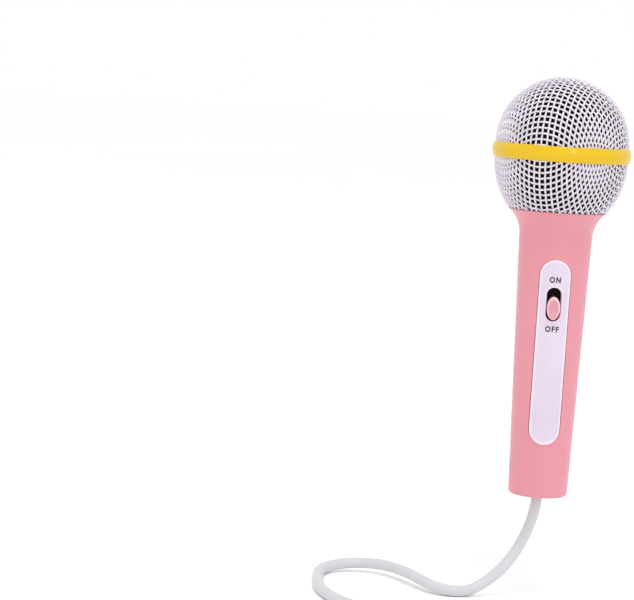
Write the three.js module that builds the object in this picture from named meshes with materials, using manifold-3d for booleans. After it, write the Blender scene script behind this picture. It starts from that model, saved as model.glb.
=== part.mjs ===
// A corded karaoke microphone: a two-piece tapered handle with a slide switch, a round
// wire-mesh head with a moving-coil capsule inside, and a cord that ends in a small plug.
// Millimetres, +Z along the handle's axis towards the head, the switch faces -Y.
// The origin is on that axis, at the middle of the stretch that a holder's clip grips.
import * as THREE from 'three';
import { mergeVertices } from 'three/addons/utils/BufferGeometryUtils.js';
import Module from 'manifold-3d';

const wasm = await Module();
wasm.setup();

// ---------- driving dimensions ----------
const GAP = 0.3;
const SIDES = 32;
const SMALL_SIDES = 16;
const PIN_SIDES = 8;
const WIRE_SIDES = 6;

// handle
const HANDLE_BOTTOM_Z = -92.6;
const HANDLE_BOTTOM_R = 11.7;
const HANDLE_TOP_Z = 10.6;
const HANDLE_TOP_R = 14.32;
const HANDLE_EDGE_R = 1.3;
const WALL = 2.2;
const FLARE_R = 13.5;
const FLARE_END = THREE.MathUtils.degToRad(50.5);
const NECK_SOCKET_R = 15.2;
const NECK_SOCKET_DEPTH = 3.1;
const TAPER = (HANDLE_TOP_R - HANDLE_BOTTOM_R) / (HANDLE_TOP_Z - HANDLE_BOTTOM_Z);
const LEAN = Math.atan(TAPER);
const FLARE_CENTRE_R = HANDLE_TOP_R + FLARE_R * Math.cos(LEAN);
const FLARE_CENTRE_Z = HANDLE_TOP_Z - FLARE_R * Math.sin(LEAN);
const NECK_TOP_Z = FLARE_CENTRE_Z + FLARE_R * Math.sin(FLARE_END);

// shell screws
const SHELL_SCREW_Z = [0.5, -38, -60];
const SHELL_POST_R = 2.6;
const SHELL_BOSS_R = 3.4;
const SCREW_SEAT_Y = 4.2;
const SCREW_TIP_Y = -7;
const SCREW_R = 1.0;
const SCREW_HEAD_R = 2.1;
const SCREW_HEAD_H = 1.8;
const PILOT_R = 1.3;

// head
const RING_Z = 43.5;
const RING_R = 27.3;
const RING_H = 6;
const RING_EDGE_R = 0.8;
const RING_BORE_R = RING_R - RING_EDGE_R;
const RIB_R = 24.9;
const RIB_H = 0.6;
const MESH_R = RING_BORE_R - GAP;
const MESH_T = 0.8;
const DOME_Z = 46.8;
const BOWL_Z = 40.5;
const BOWL_H = 29.5;
const FOAM_T = 2.5;
const FOAM_LIFT = 1.3;
const NECK_RING_T = 1;
const NECK_FLANGE_R = 17.6;
const NECK_FLANGE_T = 0.8;

// capsule, from its carrier inwards
const CARRIER_LOW_Z = 4.5;
const CARRIER_STEM_R = 11.6;
const CARRIER_SHOULDER_Z = 17.2;
const CARRIER_SHOULDER_R = 13.3;
const CARRIER_CUP_Z = 22;
const CARRIER_CUP_R = 15.8;
const CARRIER_TOP_Z = 34;
const CARRIER_FLOOR_Z = 24;
const CARRIER_BORE_R = 9.6;
const SHOCK_MOUNT_R = CARRIER_CUP_R - 1.8 - GAP;
const SHOCK_MOUNT_T = 1.5;
const SHOCK_MOUNT_HOLE_R = 8;
const HOUSING_R = 12;
const HOUSING_LOW_Z = CARRIER_FLOOR_Z + SHOCK_MOUNT_T + 2 * GAP;
const HOUSING_TOP_Z = 44;
const HOUSING_FLOOR_T = 1.2;
const HOUSING_LEDGE_Z = 38.7;
const HOUSING_LEDGE_R = 10.9;
const HOUSING_BORE_R = 9.8;
const HOUSING_HOLE_R = 3;
const YOKE_R = HOUSING_BORE_R - GAP;
const YOKE_LOW_Z = HOUSING_LOW_Z + HOUSING_FLOOR_T + GAP;
const YOKE_TOP_Z = 36;
const YOKE_FLOOR_T = 2.4;
const YOKE_BORE_R = 7.2;
const MAGNET_R = 5;
const MAGNET_LOW_Z = YOKE_LOW_Z + YOKE_FLOOR_T + GAP;
const MAGNET_TOP_Z = 34;
const POLE_R = 5.8;
const VOICE_COIL_INNER_R = 6.2;
const VOICE_COIL_OUTER_R = 6.8;
const VOICE_COIL_LOW_Z = 32;
const DIAPHRAGM_Z = HOUSING_LEDGE_Z + 0.5;
const DIAPHRAGM_R = HOUSING_LEDGE_R - 0.4;
const DIAPHRAGM_T = 0.3;
const COVER_R = HOUSING_LEDGE_R - GAP;
const COVER_LOW_Z = 42;
const COVER_T = 1.4;
const COVER_HOLE_R = 1.5;
const COVER_HOLE_CIRCLE_R = 6;

// face plate and switch
const PLATE_W = 12.4;
const PLATE_TOP_Z = 2;
const PLATE_BOTTOM_Z = -71.1;
const PLATE_RISE = 0.45;
const PLATE_SINK = 0.9;
const SWITCH_Z = -15.4;
const SLOT_W = 5.8;
const SLOT_L = 13.2;
const KNOB_W = SLOT_W - 2 * GAP;
const KNOB_L = 9;
const SWITCH_TRAVEL = 3;
const SWITCH_OFF = -SWITCH_TRAVEL / 2;
const KNOB_TOP_Y = -1.9;
const KNOB_LOW_Y = 1.6;
const KNOB_BEVEL = 0.6;
const LEVER_W = 2.2;
const LEVER_L = 3;
const LEVER_TOP_Y = 1.3;
const SHOE_W = 5;
const SHOE_L = 6.4;
const SHOE_H = 3.3;
const CAN_TOP_Y = 3.2;
const CAN_H = 4.4;
const CAN_W = 6.8;
const CAN_L = 14.4;
const CAN_WALL = 0.5;
const CAN_WINDOW_W = 3;
const CAN_WINDOW_L = 6.8;
const BASE_W = 6.4;
const BASE_T = 1.2;
const BOARD_Y = 10.2;
const BOARD_T = 1.2;
const BOARD_W = 11;
const BOARD_L = 25;
const BOARD_SCREW_Z = [10.5, -10.5];
const TERMINAL_Z = [3.5, 0, -3.5];
const TERMINAL_R = 0.5;
const TERMINAL_HOLE_R = 0.85;
const BOARD_POST_R = 2.3;
const BOARD_POST_TOP_Y = 1.4;
const BOARD_SCREW_TIP_Y = 5.5;
const BOARD_SCREW_HEAD_R = 1.9;
const BOARD_SCREW_HEAD_H = 1.2;

// cord
const CORD_R = 2.2;
const CORD_HOLE_R = 3.5;
const CLAMP_Z = -72;
const CLAMP_W = 14.8;
const CLAMP_L = 4.8;
const CLAMP_LOW_Y = -2.6;
const CLAMP_TOP_Y = 3.6;
const CLAMP_POST_R = 1.9;
const CLAMP_HOLE_R = 1.1;
const CLAMP_SCREW_X = 5.4;
const CLAMP_SCREW_R = 0.8;
const CLAMP_SCREW_HEAD_R = 1.8;
const CLAMP_SCREW_HEAD_H = 1.3;
const GROMMET_FLANGE_R = 4.8;
const GROMMET_FLANGE_T = 1.7;
const GROMMET_TOP_Z = -86;
const WIRE_R = 0.6;
const FLOOR_Z = -134.5;
const CORD_Z = FLOOR_Z + CORD_R;
const COIL_X = -12;
const COIL_Y = -93;
const COIL_MEAN_R = 24;
const COIL_LIFT = 0.9;
const COIL_TURNS_WIDE = 3;
const COIL_INNER_R = COIL_MEAN_R - COIL_TURNS_WIDE * CORD_R;
const COIL_OUTER_R = COIL_MEAN_R + COIL_TURNS_WIDE * CORD_R;
const COIL_H = 4 * CORD_R;
const TIE_W = 6;
const TIE_CORNER_R = 1;
const PLUG_Y = COIL_Y - COIL_OUTER_R + CORD_R;
const PLUG_R = 4.2;
const PLUG_Z = FLOOR_Z + PLUG_R;
const PLUG_START_X = -44.3;
const RELIEF_L = 10;
const PLUG_BODY_L = 18;
const JACK_R = 1.75;
const SLEEVE_L = 8.3;
const INSULATOR_L = 0.7;
const TIP_L = 4.5;

// ---------- finishes ----------
const PINK = { color: 0xe898a8, roughness: 0.3, metalness: 0 };
const KNOB_PINK = { color: 0xf0aab9, roughness: 0.28, metalness: 0 };
const LAVENDER = { color: 0xe8dcec, roughness: 0.35, metalness: 0 };
const YELLOW = { color: 0xf0c81e, roughness: 0.25, metalness: 0 };
const MESH_METAL = { color: 0xd8d6de, roughness: 0.3, metalness: 1 };
const STEEL = { color: 0xb4b6ba, roughness: 0.35, metalness: 1 };
const COPPER = { color: 0xb4663c, roughness: 0.4, metalness: 1 };
const MAGNET_GREY = { color: 0x45474a, roughness: 0.5, metalness: 0.8 };
const FOAM = { color: 0x17171a, roughness: 1, metalness: 0 };
const BLACK_PLASTIC = { color: 0x1d1d20, roughness: 0.5, metalness: 0 };
const BLACK_RUBBER = { color: 0x222224, roughness: 0.85, metalness: 0 };
const CLEAR_FILM = { color: 0xd9d2b8, roughness: 0.2, metalness: 0 };
const BOARD_BROWN = { color: 0xa77f42, roughness: 0.6, metalness: 0 };
const CORD_GREY = { color: 0xdcdce1, roughness: 0.5, metalness: 0 };
const RED_WIRE = { color: 0xb42222, roughness: 0.45, metalness: 0 };
const BLACK_WIRE = { color: 0x202022, roughness: 0.45, metalness: 0 };
const NICKEL = { color: 0xc9c6bd, roughness: 0.2, metalness: 1 };

// ---------- geometry helpers ----------
function weld(geometry) {
  const bare = geometry.clone();
  bare.deleteAttribute('normal');
  bare.deleteAttribute('uv');
  const merged = mergeVertices(bare, 1e-4);
  const corners = merged.index.array;
  const kept = [];
  for (let i = 0; i < corners.length; i += 3) {
    const [a, b, c] = corners.slice(i, i + 3);
    if (a !== b && b !== c && c !== a) kept.push(a, b, c);
  }
  merged.setIndex(kept);
  return merged;
}

function toSolid(geometry) {
  const bare = weld(geometry);
  const vertProperties = new Float32Array(bare.attributes.position.array);
  const triVerts = new Uint32Array(bare.index.array);
  return new wasm.Manifold(new wasm.Mesh({ numProp: 3, vertProperties, triVerts }));
}

function toGeometry(solid) {
  const mesh = solid.getMesh();
  const geometry = new THREE.BufferGeometry();
  geometry.setAttribute('position', new THREE.Float32BufferAttribute(mesh.vertProperties, 3));
  geometry.setIndex(new THREE.Uint32BufferAttribute(mesh.triVerts, 1));
  return geometry;
}

function join(...pieces) {
  return toGeometry(pieces.map(toSolid).reduce((whole, piece) => whole.add(piece)));
}

function cut(body, ...tools) {
  return toGeometry(tools.map(toSolid).reduce((left, tool) => left.subtract(tool), toSolid(body)));
}

function common(body, zone) {
  return toGeometry(toSolid(body).intersect(toSolid(zone)));
}

// A solid of revolution about Z from [radius, z] points, outside going up.
function turned(profile, sides = SIDES) {
  const points = profile.map(([r, z]) => new THREE.Vector2(r, z));
  return weld(new THREE.LatheGeometry(points, sides).rotateX(Math.PI / 2));
}

function closed(profile) {
  return [...profile, profile[0]];
}

function arc(centreR, centreZ, radius, from, to, steps) {
  const points = [];
  for (let i = 0; i <= steps; i++) {
    const angle = from + (to - from) * i / steps;
    points.push([centreR + radius * Math.cos(angle), centreZ + radius * Math.sin(angle)]);
  }
  return points;
}

function tubeProfile(innerR, outerR, lowZ, highZ) {
  return closed([[innerR, lowZ], [outerR, lowZ], [outerR, highZ], [innerR, highZ]]);
}

function discProfile(radius, lowZ, highZ) {
  return [[0, lowZ], [radius, lowZ], [radius, highZ], [0, highZ]];
}

// A block between two corners.
function block(low, high) {
  const size = high.map((value, i) => value - low[i]);
  const middle = high.map((value, i) => (value + low[i]) / 2);
  return new THREE.BoxGeometry(...size).translate(...middle);
}

// A round rod along Y between two y values.
function rodY(radius, x, z, lowY, highY, sides = SMALL_SIDES) {
  return new THREE.CylinderGeometry(radius, radius, highY - lowY, sides)
    .translate(x, (lowY + highY) / 2, z);
}

// An outline with round ends in the XZ plane, extruded along Y between two y values.
function stadiumY(width, lowZ, highZ, lowY, highY) {
  const outline = new THREE.Shape();
  outline.absarc(0, highZ - width / 2, width / 2, 0, Math.PI);
  outline.absarc(0, lowZ + width / 2, width / 2, Math.PI, 2 * Math.PI);
  const options = { depth: highY - lowY, curveSegments: 6, bevelEnabled: false };
  return new THREE.ExtrudeGeometry(outline, options)
    .rotateX(Math.PI / 2)
    .translate(0, highY, 0);
}

// An oval in the XZ plane, centred at x = 0, extruded along Y between two y values.
function ovalY(width, length, middleZ, lowY, highY, bevel) {
  const outline = new THREE.Shape();
  outline.absellipse(0, middleZ, width / 2 - bevel, length / 2 - bevel, 0, 2 * Math.PI);
  const options = {
    depth: highY - lowY - 2 * bevel,
    curveSegments: 10,
    bevelEnabled: true,
    bevelSize: bevel,
    bevelThickness: bevel,
    bevelSegments: 2,
  };
  return new THREE.ExtrudeGeometry(outline, options)
    .rotateX(Math.PI / 2)
    .translate(0, highY - bevel, 0);
}

function circleShape(radius, sides) {
  const corners = [];
  for (let i = 0; i < sides; i++) {
    const angle = 2 * Math.PI * i / sides;
    corners.push(new THREE.Vector2(radius * Math.cos(angle), radius * Math.sin(angle)));
  }
  return new THREE.Shape(corners);
}

function tube(route, radius, sides, steps) {
  const extrudePath = new THREE.CatmullRomCurve3(route.map((p) => new THREE.Vector3(...p)));
  return weld(new THREE.ExtrudeGeometry(circleShape(radius, sides), { extrudePath, steps }));
}

function part(name, geometry, finish) {
  const mesh = new THREE.Mesh(geometry, new THREE.MeshStandardMaterial(finish));
  geometry.computeVertexNormals();
  mesh.name = name;
  return mesh;
}

// ---------- head ----------
function domeArc(radius, upwards) {
  const [from, to] = upwards ? [0, Math.PI / 2] : [Math.PI / 2, 0];
  const points = arc(0, DOME_Z, radius, from, to, 7);
  points[upwards ? points.length - 1 : 0][0] = 0;
  return points;
}

function domeShell(outerR, thickness, lowZ) {
  const innerR = outerR - thickness;
  return turned([...domeArc(innerR, false), [innerR, lowZ], [outerR, lowZ], ...domeArc(outerR, true)]);
}

function bowlRadius(z) {
  return MESH_R * Math.sqrt(1 - Math.min(0, (z - BOWL_Z) / BOWL_H) ** 2);
}

// Horizontal distance across the bowl's wall for a thickness measured square to it.
function bowlInset(z, thickness) {
  const slope = Math.max(0, BOWL_Z - z) * (MESH_R / BOWL_H) ** 2 / bowlRadius(z);
  return thickness * Math.hypot(1, slope);
}

function bowlShell(outerInset, thickness, lowZ, highZ) {
  const steps = 5;
  const outer = [];
  const inner = [];
  for (let i = 0; i <= steps; i++) {
    const z = lowZ + (highZ - lowZ) * i / steps;
    outer.push([bowlRadius(z) - bowlInset(z, outerInset), z]);
    inner.unshift([bowlRadius(z) - bowlInset(z, outerInset + thickness), z]);
  }
  return turned(closed([...outer, ...inner]));
}

function grilleRing() {
  const low = RING_Z - RING_H / 2;
  const high = RING_Z + RING_H / 2;
  const edge = RING_R - RING_EDGE_R;
  return turned(closed([
    ...arc(edge, low + RING_EDGE_R, RING_EDGE_R, -Math.PI / 2, 0, 3),
    ...arc(edge, high - RING_EDGE_R, RING_EDGE_R, 0, Math.PI / 2, 3),
    [RING_BORE_R, RING_Z + RIB_H / 2],
    [RIB_R, RING_Z + RIB_H / 2],
    [RIB_R, RING_Z - RIB_H / 2],
    [RING_BORE_R, RING_Z - RIB_H / 2],
  ]));
}

function grilleNeckRing() {
  const low = NECK_TOP_Z - NECK_SOCKET_DEPTH + GAP;
  const seat = NECK_TOP_Z + GAP;
  const outerR = NECK_SOCKET_R - GAP;
  return turned(closed([
    [outerR - NECK_RING_T, low],
    [outerR, low],
    [outerR, seat],
    [NECK_FLANGE_R, seat],
    [NECK_FLANGE_R, seat + NECK_FLANGE_T],
    [outerR - NECK_RING_T, seat + NECK_FLANGE_T],
  ]));
}

function head() {
  const group = new THREE.Group();
  const meshLow = NECK_TOP_Z + GAP + 0.05;
  const above = RING_Z + RIB_H / 2 + GAP;
  const below = RING_Z - RIB_H / 2 - GAP;
  group.add(
    part('grille_upper', domeShell(MESH_R, MESH_T, above), MESH_METAL),
    part('grille_lower', bowlShell(0, MESH_T, meshLow, below), MESH_METAL),
    part('grille_ring', grilleRing(), YELLOW),
    part('foam_upper', domeShell(MESH_R - MESH_T - GAP, FOAM_T, above), FOAM),
    part('foam_lower', bowlShell(MESH_T + GAP, FOAM_T, meshLow + FOAM_LIFT, below), FOAM),
    part('grille_neck_ring', grilleNeckRing(), STEEL),
  );
  return group;
}

// ---------- capsule ----------
function capsuleCarrier() {
  const cupBoreR = SHOCK_MOUNT_R + GAP;
  return turned(closed([
    [CARRIER_BORE_R, CARRIER_LOW_Z],
    [CARRIER_STEM_R, CARRIER_LOW_Z],
    [CARRIER_STEM_R, CARRIER_SHOULDER_Z],
    [CARRIER_SHOULDER_R, CARRIER_SHOULDER_Z],
    [CARRIER_SHOULDER_R, CARRIER_CUP_Z],
    [CARRIER_CUP_R, CARRIER_CUP_Z],
    [CARRIER_CUP_R, CARRIER_TOP_Z],
    [cupBoreR, CARRIER_TOP_Z],
    [cupBoreR, CARRIER_FLOOR_Z],
    [CARRIER_BORE_R, CARRIER_FLOOR_Z],
  ]));
}

function shockMount() {
  const low = CARRIER_FLOOR_Z + GAP;
  const boreR = HOUSING_R + GAP;
  return turned(closed([
    [SHOCK_MOUNT_HOLE_R, low],
    [SHOCK_MOUNT_R, low],
    [SHOCK_MOUNT_R, CARRIER_TOP_Z],
    [boreR, CARRIER_TOP_Z],
    [boreR, low + SHOCK_MOUNT_T],
    [SHOCK_MOUNT_HOLE_R, low + SHOCK_MOUNT_T],
  ]));
}

function capsuleHousing() {
  const floorZ = HOUSING_LOW_Z + HOUSING_FLOOR_T;
  return turned(closed([
    [HOUSING_HOLE_R, HOUSING_LOW_Z],
    [HOUSING_R, HOUSING_LOW_Z],
    [HOUSING_R, HOUSING_TOP_Z],
    [HOUSING_LEDGE_R, HOUSING_TOP_Z],
    [HOUSING_LEDGE_R, HOUSING_LEDGE_Z],
    [HOUSING_BORE_R, HOUSING_LEDGE_Z],
    [HOUSING_BORE_R, floorZ],
    [HOUSING_HOLE_R, floorZ],
  ]), SMALL_SIDES);
}

function yoke() {
  const floorZ = YOKE_LOW_Z + YOKE_FLOOR_T;
  return turned([
    [0, YOKE_LOW_Z],
    [YOKE_R, YOKE_LOW_Z],
    [YOKE_R, YOKE_TOP_Z],
    [YOKE_BORE_R, YOKE_TOP_Z],
    [YOKE_BORE_R, floorZ],
    [0, floorZ],
  ], SMALL_SIDES);
}

// A domed centre over the voice coil, with a flat surround.
function diaphragm() {
  const dome = [[0, 1.8], [3.2, 1.5], [5.6, 0.8], [7.2, 0]];
  const under = dome.map(([r, rise]) => [r, DIAPHRAGM_Z + rise]);
  const over = dome.map(([r, rise]) => [r === 0 ? 0 : r + 0.1, DIAPHRAGM_Z + DIAPHRAGM_T + rise]);
  return turned([
    ...under,
    [DIAPHRAGM_R, DIAPHRAGM_Z],
    [DIAPHRAGM_R, DIAPHRAGM_Z + DIAPHRAGM_T],
    ...over.reverse(),
  ], SMALL_SIDES);
}

function capsuleCover() {
  const top = COVER_LOW_Z + COVER_T;
  const centreHole = turned(discProfile(COVER_HOLE_R, COVER_LOW_Z - 1, top + 1), PIN_SIDES);
  const holes = [centreHole];
  for (let i = 0; i < 6; i++) {
    const angle = i * Math.PI / 3;
    const x = COVER_HOLE_CIRCLE_R * Math.cos(angle);
    const y = COVER_HOLE_CIRCLE_R * Math.sin(angle);
    holes.push(centreHole.clone().translate(x, y, 0));
  }
  return cut(turned(discProfile(COVER_R, COVER_LOW_Z, top), SMALL_SIDES), ...holes);
}

function capsule() {
  const magnet = discProfile(MAGNET_R, MAGNET_LOW_Z, MAGNET_TOP_Z);
  const pole = discProfile(POLE_R, MAGNET_TOP_Z + GAP, YOKE_TOP_Z);
  const voiceCoil = tubeProfile(
    VOICE_COIL_INNER_R, VOICE_COIL_OUTER_R, VOICE_COIL_LOW_Z, DIAPHRAGM_Z - GAP,
  );
  const group = new THREE.Group();
  group.add(
    part('capsule_carrier', capsuleCarrier(), BLACK_PLASTIC),
    part('capsule_shock_mount', shockMount(), BLACK_RUBBER),
    part('capsule_housing', capsuleHousing(), BLACK_PLASTIC),
    part('capsule_yoke', yoke(), STEEL),
    part('capsule_magnet', turned(magnet, SMALL_SIDES), MAGNET_GREY),
    part('capsule_pole_plate', turned(pole, SMALL_SIDES), STEEL),
    part('capsule_voice_coil', turned(voiceCoil, SMALL_SIDES), COPPER),
    part('capsule_diaphragm', diaphragm(), CLEAR_FILM),
    part('capsule_cover', capsuleCover(), BLACK_PLASTIC),
  );
  return group;
}

// ---------- switch, in a frame that leans with the handle's front ----------
// Its origin is on the handle's surface at the slot's centre, -Y points out, +Z is ON.
function handleRadius(z) {
  return HANDLE_BOTTOM_R + (z - HANDLE_BOTTOM_Z) * TAPER;
}

const switchPlace = new THREE.Matrix4()
  .makeRotationX(LEAN)
  .setPosition(0, -handleRadius(SWITCH_Z), SWITCH_Z);

const switchSlot = stadiumY(SLOT_W, -SLOT_L / 2, SLOT_L / 2, -6, 6).applyMatrix4(switchPlace);

// A block centred at x = 0 and on a given z, between two y values.
function blockY(width, length, middleZ, lowY, highY) {
  return block([-width / 2, lowY, middleZ - length / 2], [width / 2, highY, middleZ + length / 2]);
}

function switchKnob() {
  const body = ovalY(KNOB_W, KNOB_L, SWITCH_OFF, KNOB_TOP_Y, KNOB_LOW_Y, KNOB_BEVEL);
  const pocketW = LEVER_W + 2 * GAP + 0.1;
  const pocketL = LEVER_L + 2 * GAP + 0.1;
  return cut(body, blockY(pocketW, pocketL, SWITCH_OFF, LEVER_TOP_Y - GAP - 0.1, KNOB_LOW_Y + 1));
}

function switchSlider() {
  const shoeTop = CAN_TOP_Y + CAN_WALL + GAP;
  const shoe = blockY(SHOE_W, SHOE_L, SWITCH_OFF, shoeTop, shoeTop + SHOE_H);
  const lever = blockY(LEVER_W, LEVER_L, SWITCH_OFF, LEVER_TOP_Y, shoeTop + 0.2);
  return join(shoe, lever);
}

function switchCan() {
  const low = CAN_TOP_Y + CAN_H;
  const outside = blockY(CAN_W, CAN_L, 0, CAN_TOP_Y, low);
  const inside = blockY(CAN_W - 2 * CAN_WALL, CAN_L - 2 * CAN_WALL, 0, CAN_TOP_Y + CAN_WALL, low + 1);
  const window = blockY(CAN_WINDOW_W, CAN_WINDOW_L, 0, CAN_TOP_Y - 1, CAN_TOP_Y + 1);
  return cut(outside, inside, window);
}

function switchBase() {
  const top = CAN_TOP_Y + CAN_H + GAP;
  return blockY(BASE_W, CAN_L, 0, top, top + BASE_T);
}

function switchBoard() {
  const plate = blockY(BOARD_W, BOARD_L, 0, BOARD_Y, BOARD_Y + BOARD_T);
  const through = [BOARD_Y - 1, BOARD_Y + BOARD_T + 1];
  const pinHoles = TERMINAL_Z.map((z) => rodY(TERMINAL_HOLE_R, 0, z, ...through, PIN_SIDES));
  const screwHoles = BOARD_SCREW_Z.map((z) => rodY(PILOT_R, 0, z, ...through, PIN_SIDES));
  return cut(plate, ...pinHoles, ...screwHoles);
}

// A screw along Y, head towards +Y, with a cross recess in its head.
function screw(x, z, tipY, seatY, shankR = SCREW_R, headR = SCREW_HEAD_R, headH = SCREW_HEAD_H) {
  const shank = rodY(shankR, x, z, tipY, seatY + 0.1, PIN_SIDES);
  const top = rodY(headR, x, z, seatY, seatY + headH, SMALL_SIDES);
  const recessLow = seatY + headH * 0.45;
  const recessHigh = seatY + headH + 1;
  const slots = [[headR * 0.6, headR * 0.16], [headR * 0.16, headR * 0.6]].map(
    ([dx, dz]) => block([x - dx, recessLow, z - dz], [x + dx, recessHigh, z + dz]),
  );
  return cut(join(shank, top), ...slots);
}

function switchGroup() {
  const group = new THREE.Group();
  group.applyMatrix4(switchPlace);
  group.add(
    part('switch_knob', switchKnob(), KNOB_PINK),
    part('switch_slider', switchSlider(), BLACK_PLASTIC),
    part('switch_can', switchCan(), STEEL),
    part('switch_base', switchBase(), BOARD_BROWN),
    part('switch_board', switchBoard(), BOARD_BROWN),
  );
  TERMINAL_Z.forEach((z, i) => {
    const top = CAN_TOP_Y + CAN_H + BASE_T + 2 * GAP;
    const pin = rodY(TERMINAL_R, 0, z, top, BOARD_Y + BOARD_T + 1, PIN_SIDES);
    group.add(part(`switch_terminal_${i + 1}`, pin, NICKEL));
  });
  BOARD_SCREW_Z.forEach((z, i) => {
    const seat = BOARD_Y + BOARD_T + GAP;
    const fastener = screw(
      0, z, BOARD_SCREW_TIP_Y, seat, SCREW_R, BOARD_SCREW_HEAD_R, BOARD_SCREW_HEAD_H,
    );
    group.add(part(`board_screw_${i + 1}`, fastener, STEEL));
  });
  return group;
}

// ---------- handle ----------
function flareArc(radius, from, to) {
  return arc(FLARE_CENTRE_R, FLARE_CENTRE_Z, radius, Math.PI - from, Math.PI - to, 4);
}

function handleTube() {
  const socketZ = NECK_TOP_Z - NECK_SOCKET_DEPTH;
  const innerFlareR = FLARE_R + WALL;
  const innerEnd = Math.asin((socketZ - FLARE_CENTRE_Z) / innerFlareR);
  const floorZ = HANDLE_BOTTOM_Z + WALL;
  return turned(closed([
    [CORD_HOLE_R, HANDLE_BOTTOM_Z],
    ...arc(
      HANDLE_BOTTOM_R - HANDLE_EDGE_R, HANDLE_BOTTOM_Z + HANDLE_EDGE_R, HANDLE_EDGE_R,
      -Math.PI / 2, -LEAN, 3,
    ),
    ...flareArc(FLARE_R, LEAN, FLARE_END),
    [NECK_SOCKET_R, NECK_TOP_Z],
    [NECK_SOCKET_R, socketZ],
    ...flareArc(innerFlareR, innerEnd, LEAN),
    [handleRadius(floorZ) - WALL, floorZ],
    [CORD_HOLE_R, floorZ],
  ]));
}

function bandAround(lowInset, highInset) {
  const low = PLATE_BOTTOM_Z - 5;
  const high = PLATE_TOP_Z + 5;
  return turned(closed([
    [handleRadius(low) - lowInset, low],
    [handleRadius(low) + highInset, low],
    [handleRadius(high) + highInset, high],
    [handleRadius(high) - lowInset, high],
  ]));
}

function plateOutline(clearance) {
  const low = PLATE_BOTTOM_Z - clearance;
  const high = PLATE_TOP_Z + clearance;
  return stadiumY(PLATE_W + 2 * clearance, low, high, -20, -6);
}

function facePlate() {
  return cut(common(bandAround(PLATE_SINK, PLATE_RISE), plateOutline(0)), switchSlot);
}

// A screw hole or post for each of the clamp's two screws.
function clampRods(radius, lowY, highY, sides) {
  return [-1, 1].map((side) => rodY(radius, side * CLAMP_SCREW_X, CLAMP_Z, lowY, highY, sides));
}

// The same for the board's two screws, square to the leaning switch.
function boardRods(radius, lowY, highY, sides) {
  return BOARD_SCREW_Z.map((z) => rodY(radius, 0, z, lowY, highY, sides).applyMatrix4(switchPlace));
}

function frontShell() {
  const half = common(handleTube(), block([-40, -40, -120], [40, -GAP / 2, 60]));
  const posts = SHELL_SCREW_Z.map((z) => rodY(SHELL_POST_R, 0, z, 1.5 - handleRadius(z), -GAP));
  const clampPosts = clampRods(CLAMP_POST_R, -9.2, CLAMP_LOW_Y - GAP);
  const boardPosts = boardRods(BOARD_POST_R, BOARD_POST_TOP_Y, BOARD_Y - GAP);
  const solid = join(half, ...posts, ...clampPosts, ...boardPosts);
  const recess = common(bandAround(PLATE_SINK + GAP, 4), plateOutline(GAP));
  const pilots = SHELL_SCREW_Z.map((z) => rodY(PILOT_R, 0, z, SCREW_TIP_Y - 1, 2, PIN_SIDES));
  const clampPilots = clampRods(CLAMP_HOLE_R, SCREW_TIP_Y - 1, 0, PIN_SIDES);
  const boardPilots = boardRods(PILOT_R, BOARD_SCREW_TIP_Y - 1, BOARD_Y + 2, PIN_SIDES);
  return cut(solid, recess, switchSlot, ...pilots, ...clampPilots, ...boardPilots);
}

function rearShell() {
  const half = common(handleTube(), block([-40, GAP / 2, -120], [40, 40, 60]));
  const bosses = SHELL_SCREW_Z.map((z) => rodY(SHELL_BOSS_R, 0, z, GAP, handleRadius(z) - 1.2));
  const seats = SHELL_SCREW_Z.map((z) => rodY(SCREW_HEAD_R + GAP, 0, z, SCREW_SEAT_Y, 20));
  const holes = SHELL_SCREW_Z.map((z) => rodY(SCREW_R + GAP, 0, z, -1, 6, PIN_SIDES));
  return cut(join(half, ...bosses), ...seats, ...holes);
}

function cordClamp() {
  const bar = blockY(CLAMP_W, CLAMP_L, CLAMP_Z, CLAMP_LOW_Y, CLAMP_TOP_Y);
  const channelW = 2 * (CORD_R + GAP);
  const channel = blockY(channelW, CLAMP_L + 2, CLAMP_Z, CLAMP_LOW_Y - 1, CORD_R + GAP);
  return cut(bar, channel, ...clampRods(CLAMP_HOLE_R, CLAMP_LOW_Y - 1, CLAMP_TOP_Y + 1, PIN_SIDES));
}

function cordGrommet() {
  const bore = CORD_R + GAP;
  const flangeZ = HANDLE_BOTTOM_Z + WALL + GAP;
  return turned(closed([
    [bore, HANDLE_BOTTOM_Z],
    [CORD_HOLE_R - GAP, HANDLE_BOTTOM_Z],
    [CORD_HOLE_R - GAP, flangeZ],
    [GROMMET_FLANGE_R, flangeZ],
    [GROMMET_FLANGE_R, flangeZ + GROMMET_FLANGE_T],
    [CORD_HOLE_R, flangeZ + GROMMET_FLANGE_T],
    [CORD_HOLE_R, GROMMET_TOP_Z],
    [bore, GROMMET_TOP_Z],
  ]), SMALL_SIDES);
}

function handle() {
  const group = new THREE.Group();
  group.add(
    part('handle_front_shell', frontShell(), PINK),
    part('handle_rear_shell', rearShell(), PINK),
    part('face_plate', facePlate(), LAVENDER),
    part('cord_clamp', cordClamp(), BLACK_PLASTIC),
    part('cord_grommet', cordGrommet(), BLACK_RUBBER),
  );
  SHELL_SCREW_Z.forEach((z, i) => {
    group.add(part(`shell_screw_${i + 1}`, screw(0, z, SCREW_TIP_Y, SCREW_SEAT_Y + GAP), STEEL));
  });
  [-1, 1].forEach((side, i) => {
    const fastener = screw(
      side * CLAMP_SCREW_X, CLAMP_Z, SCREW_TIP_Y, CLAMP_TOP_Y + GAP,
      CLAMP_SCREW_R, CLAMP_SCREW_HEAD_R, CLAMP_SCREW_HEAD_H,
    );
    group.add(part(`clamp_screw_${i + 1}`, fastener, STEEL));
  });
  return group;
}

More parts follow.
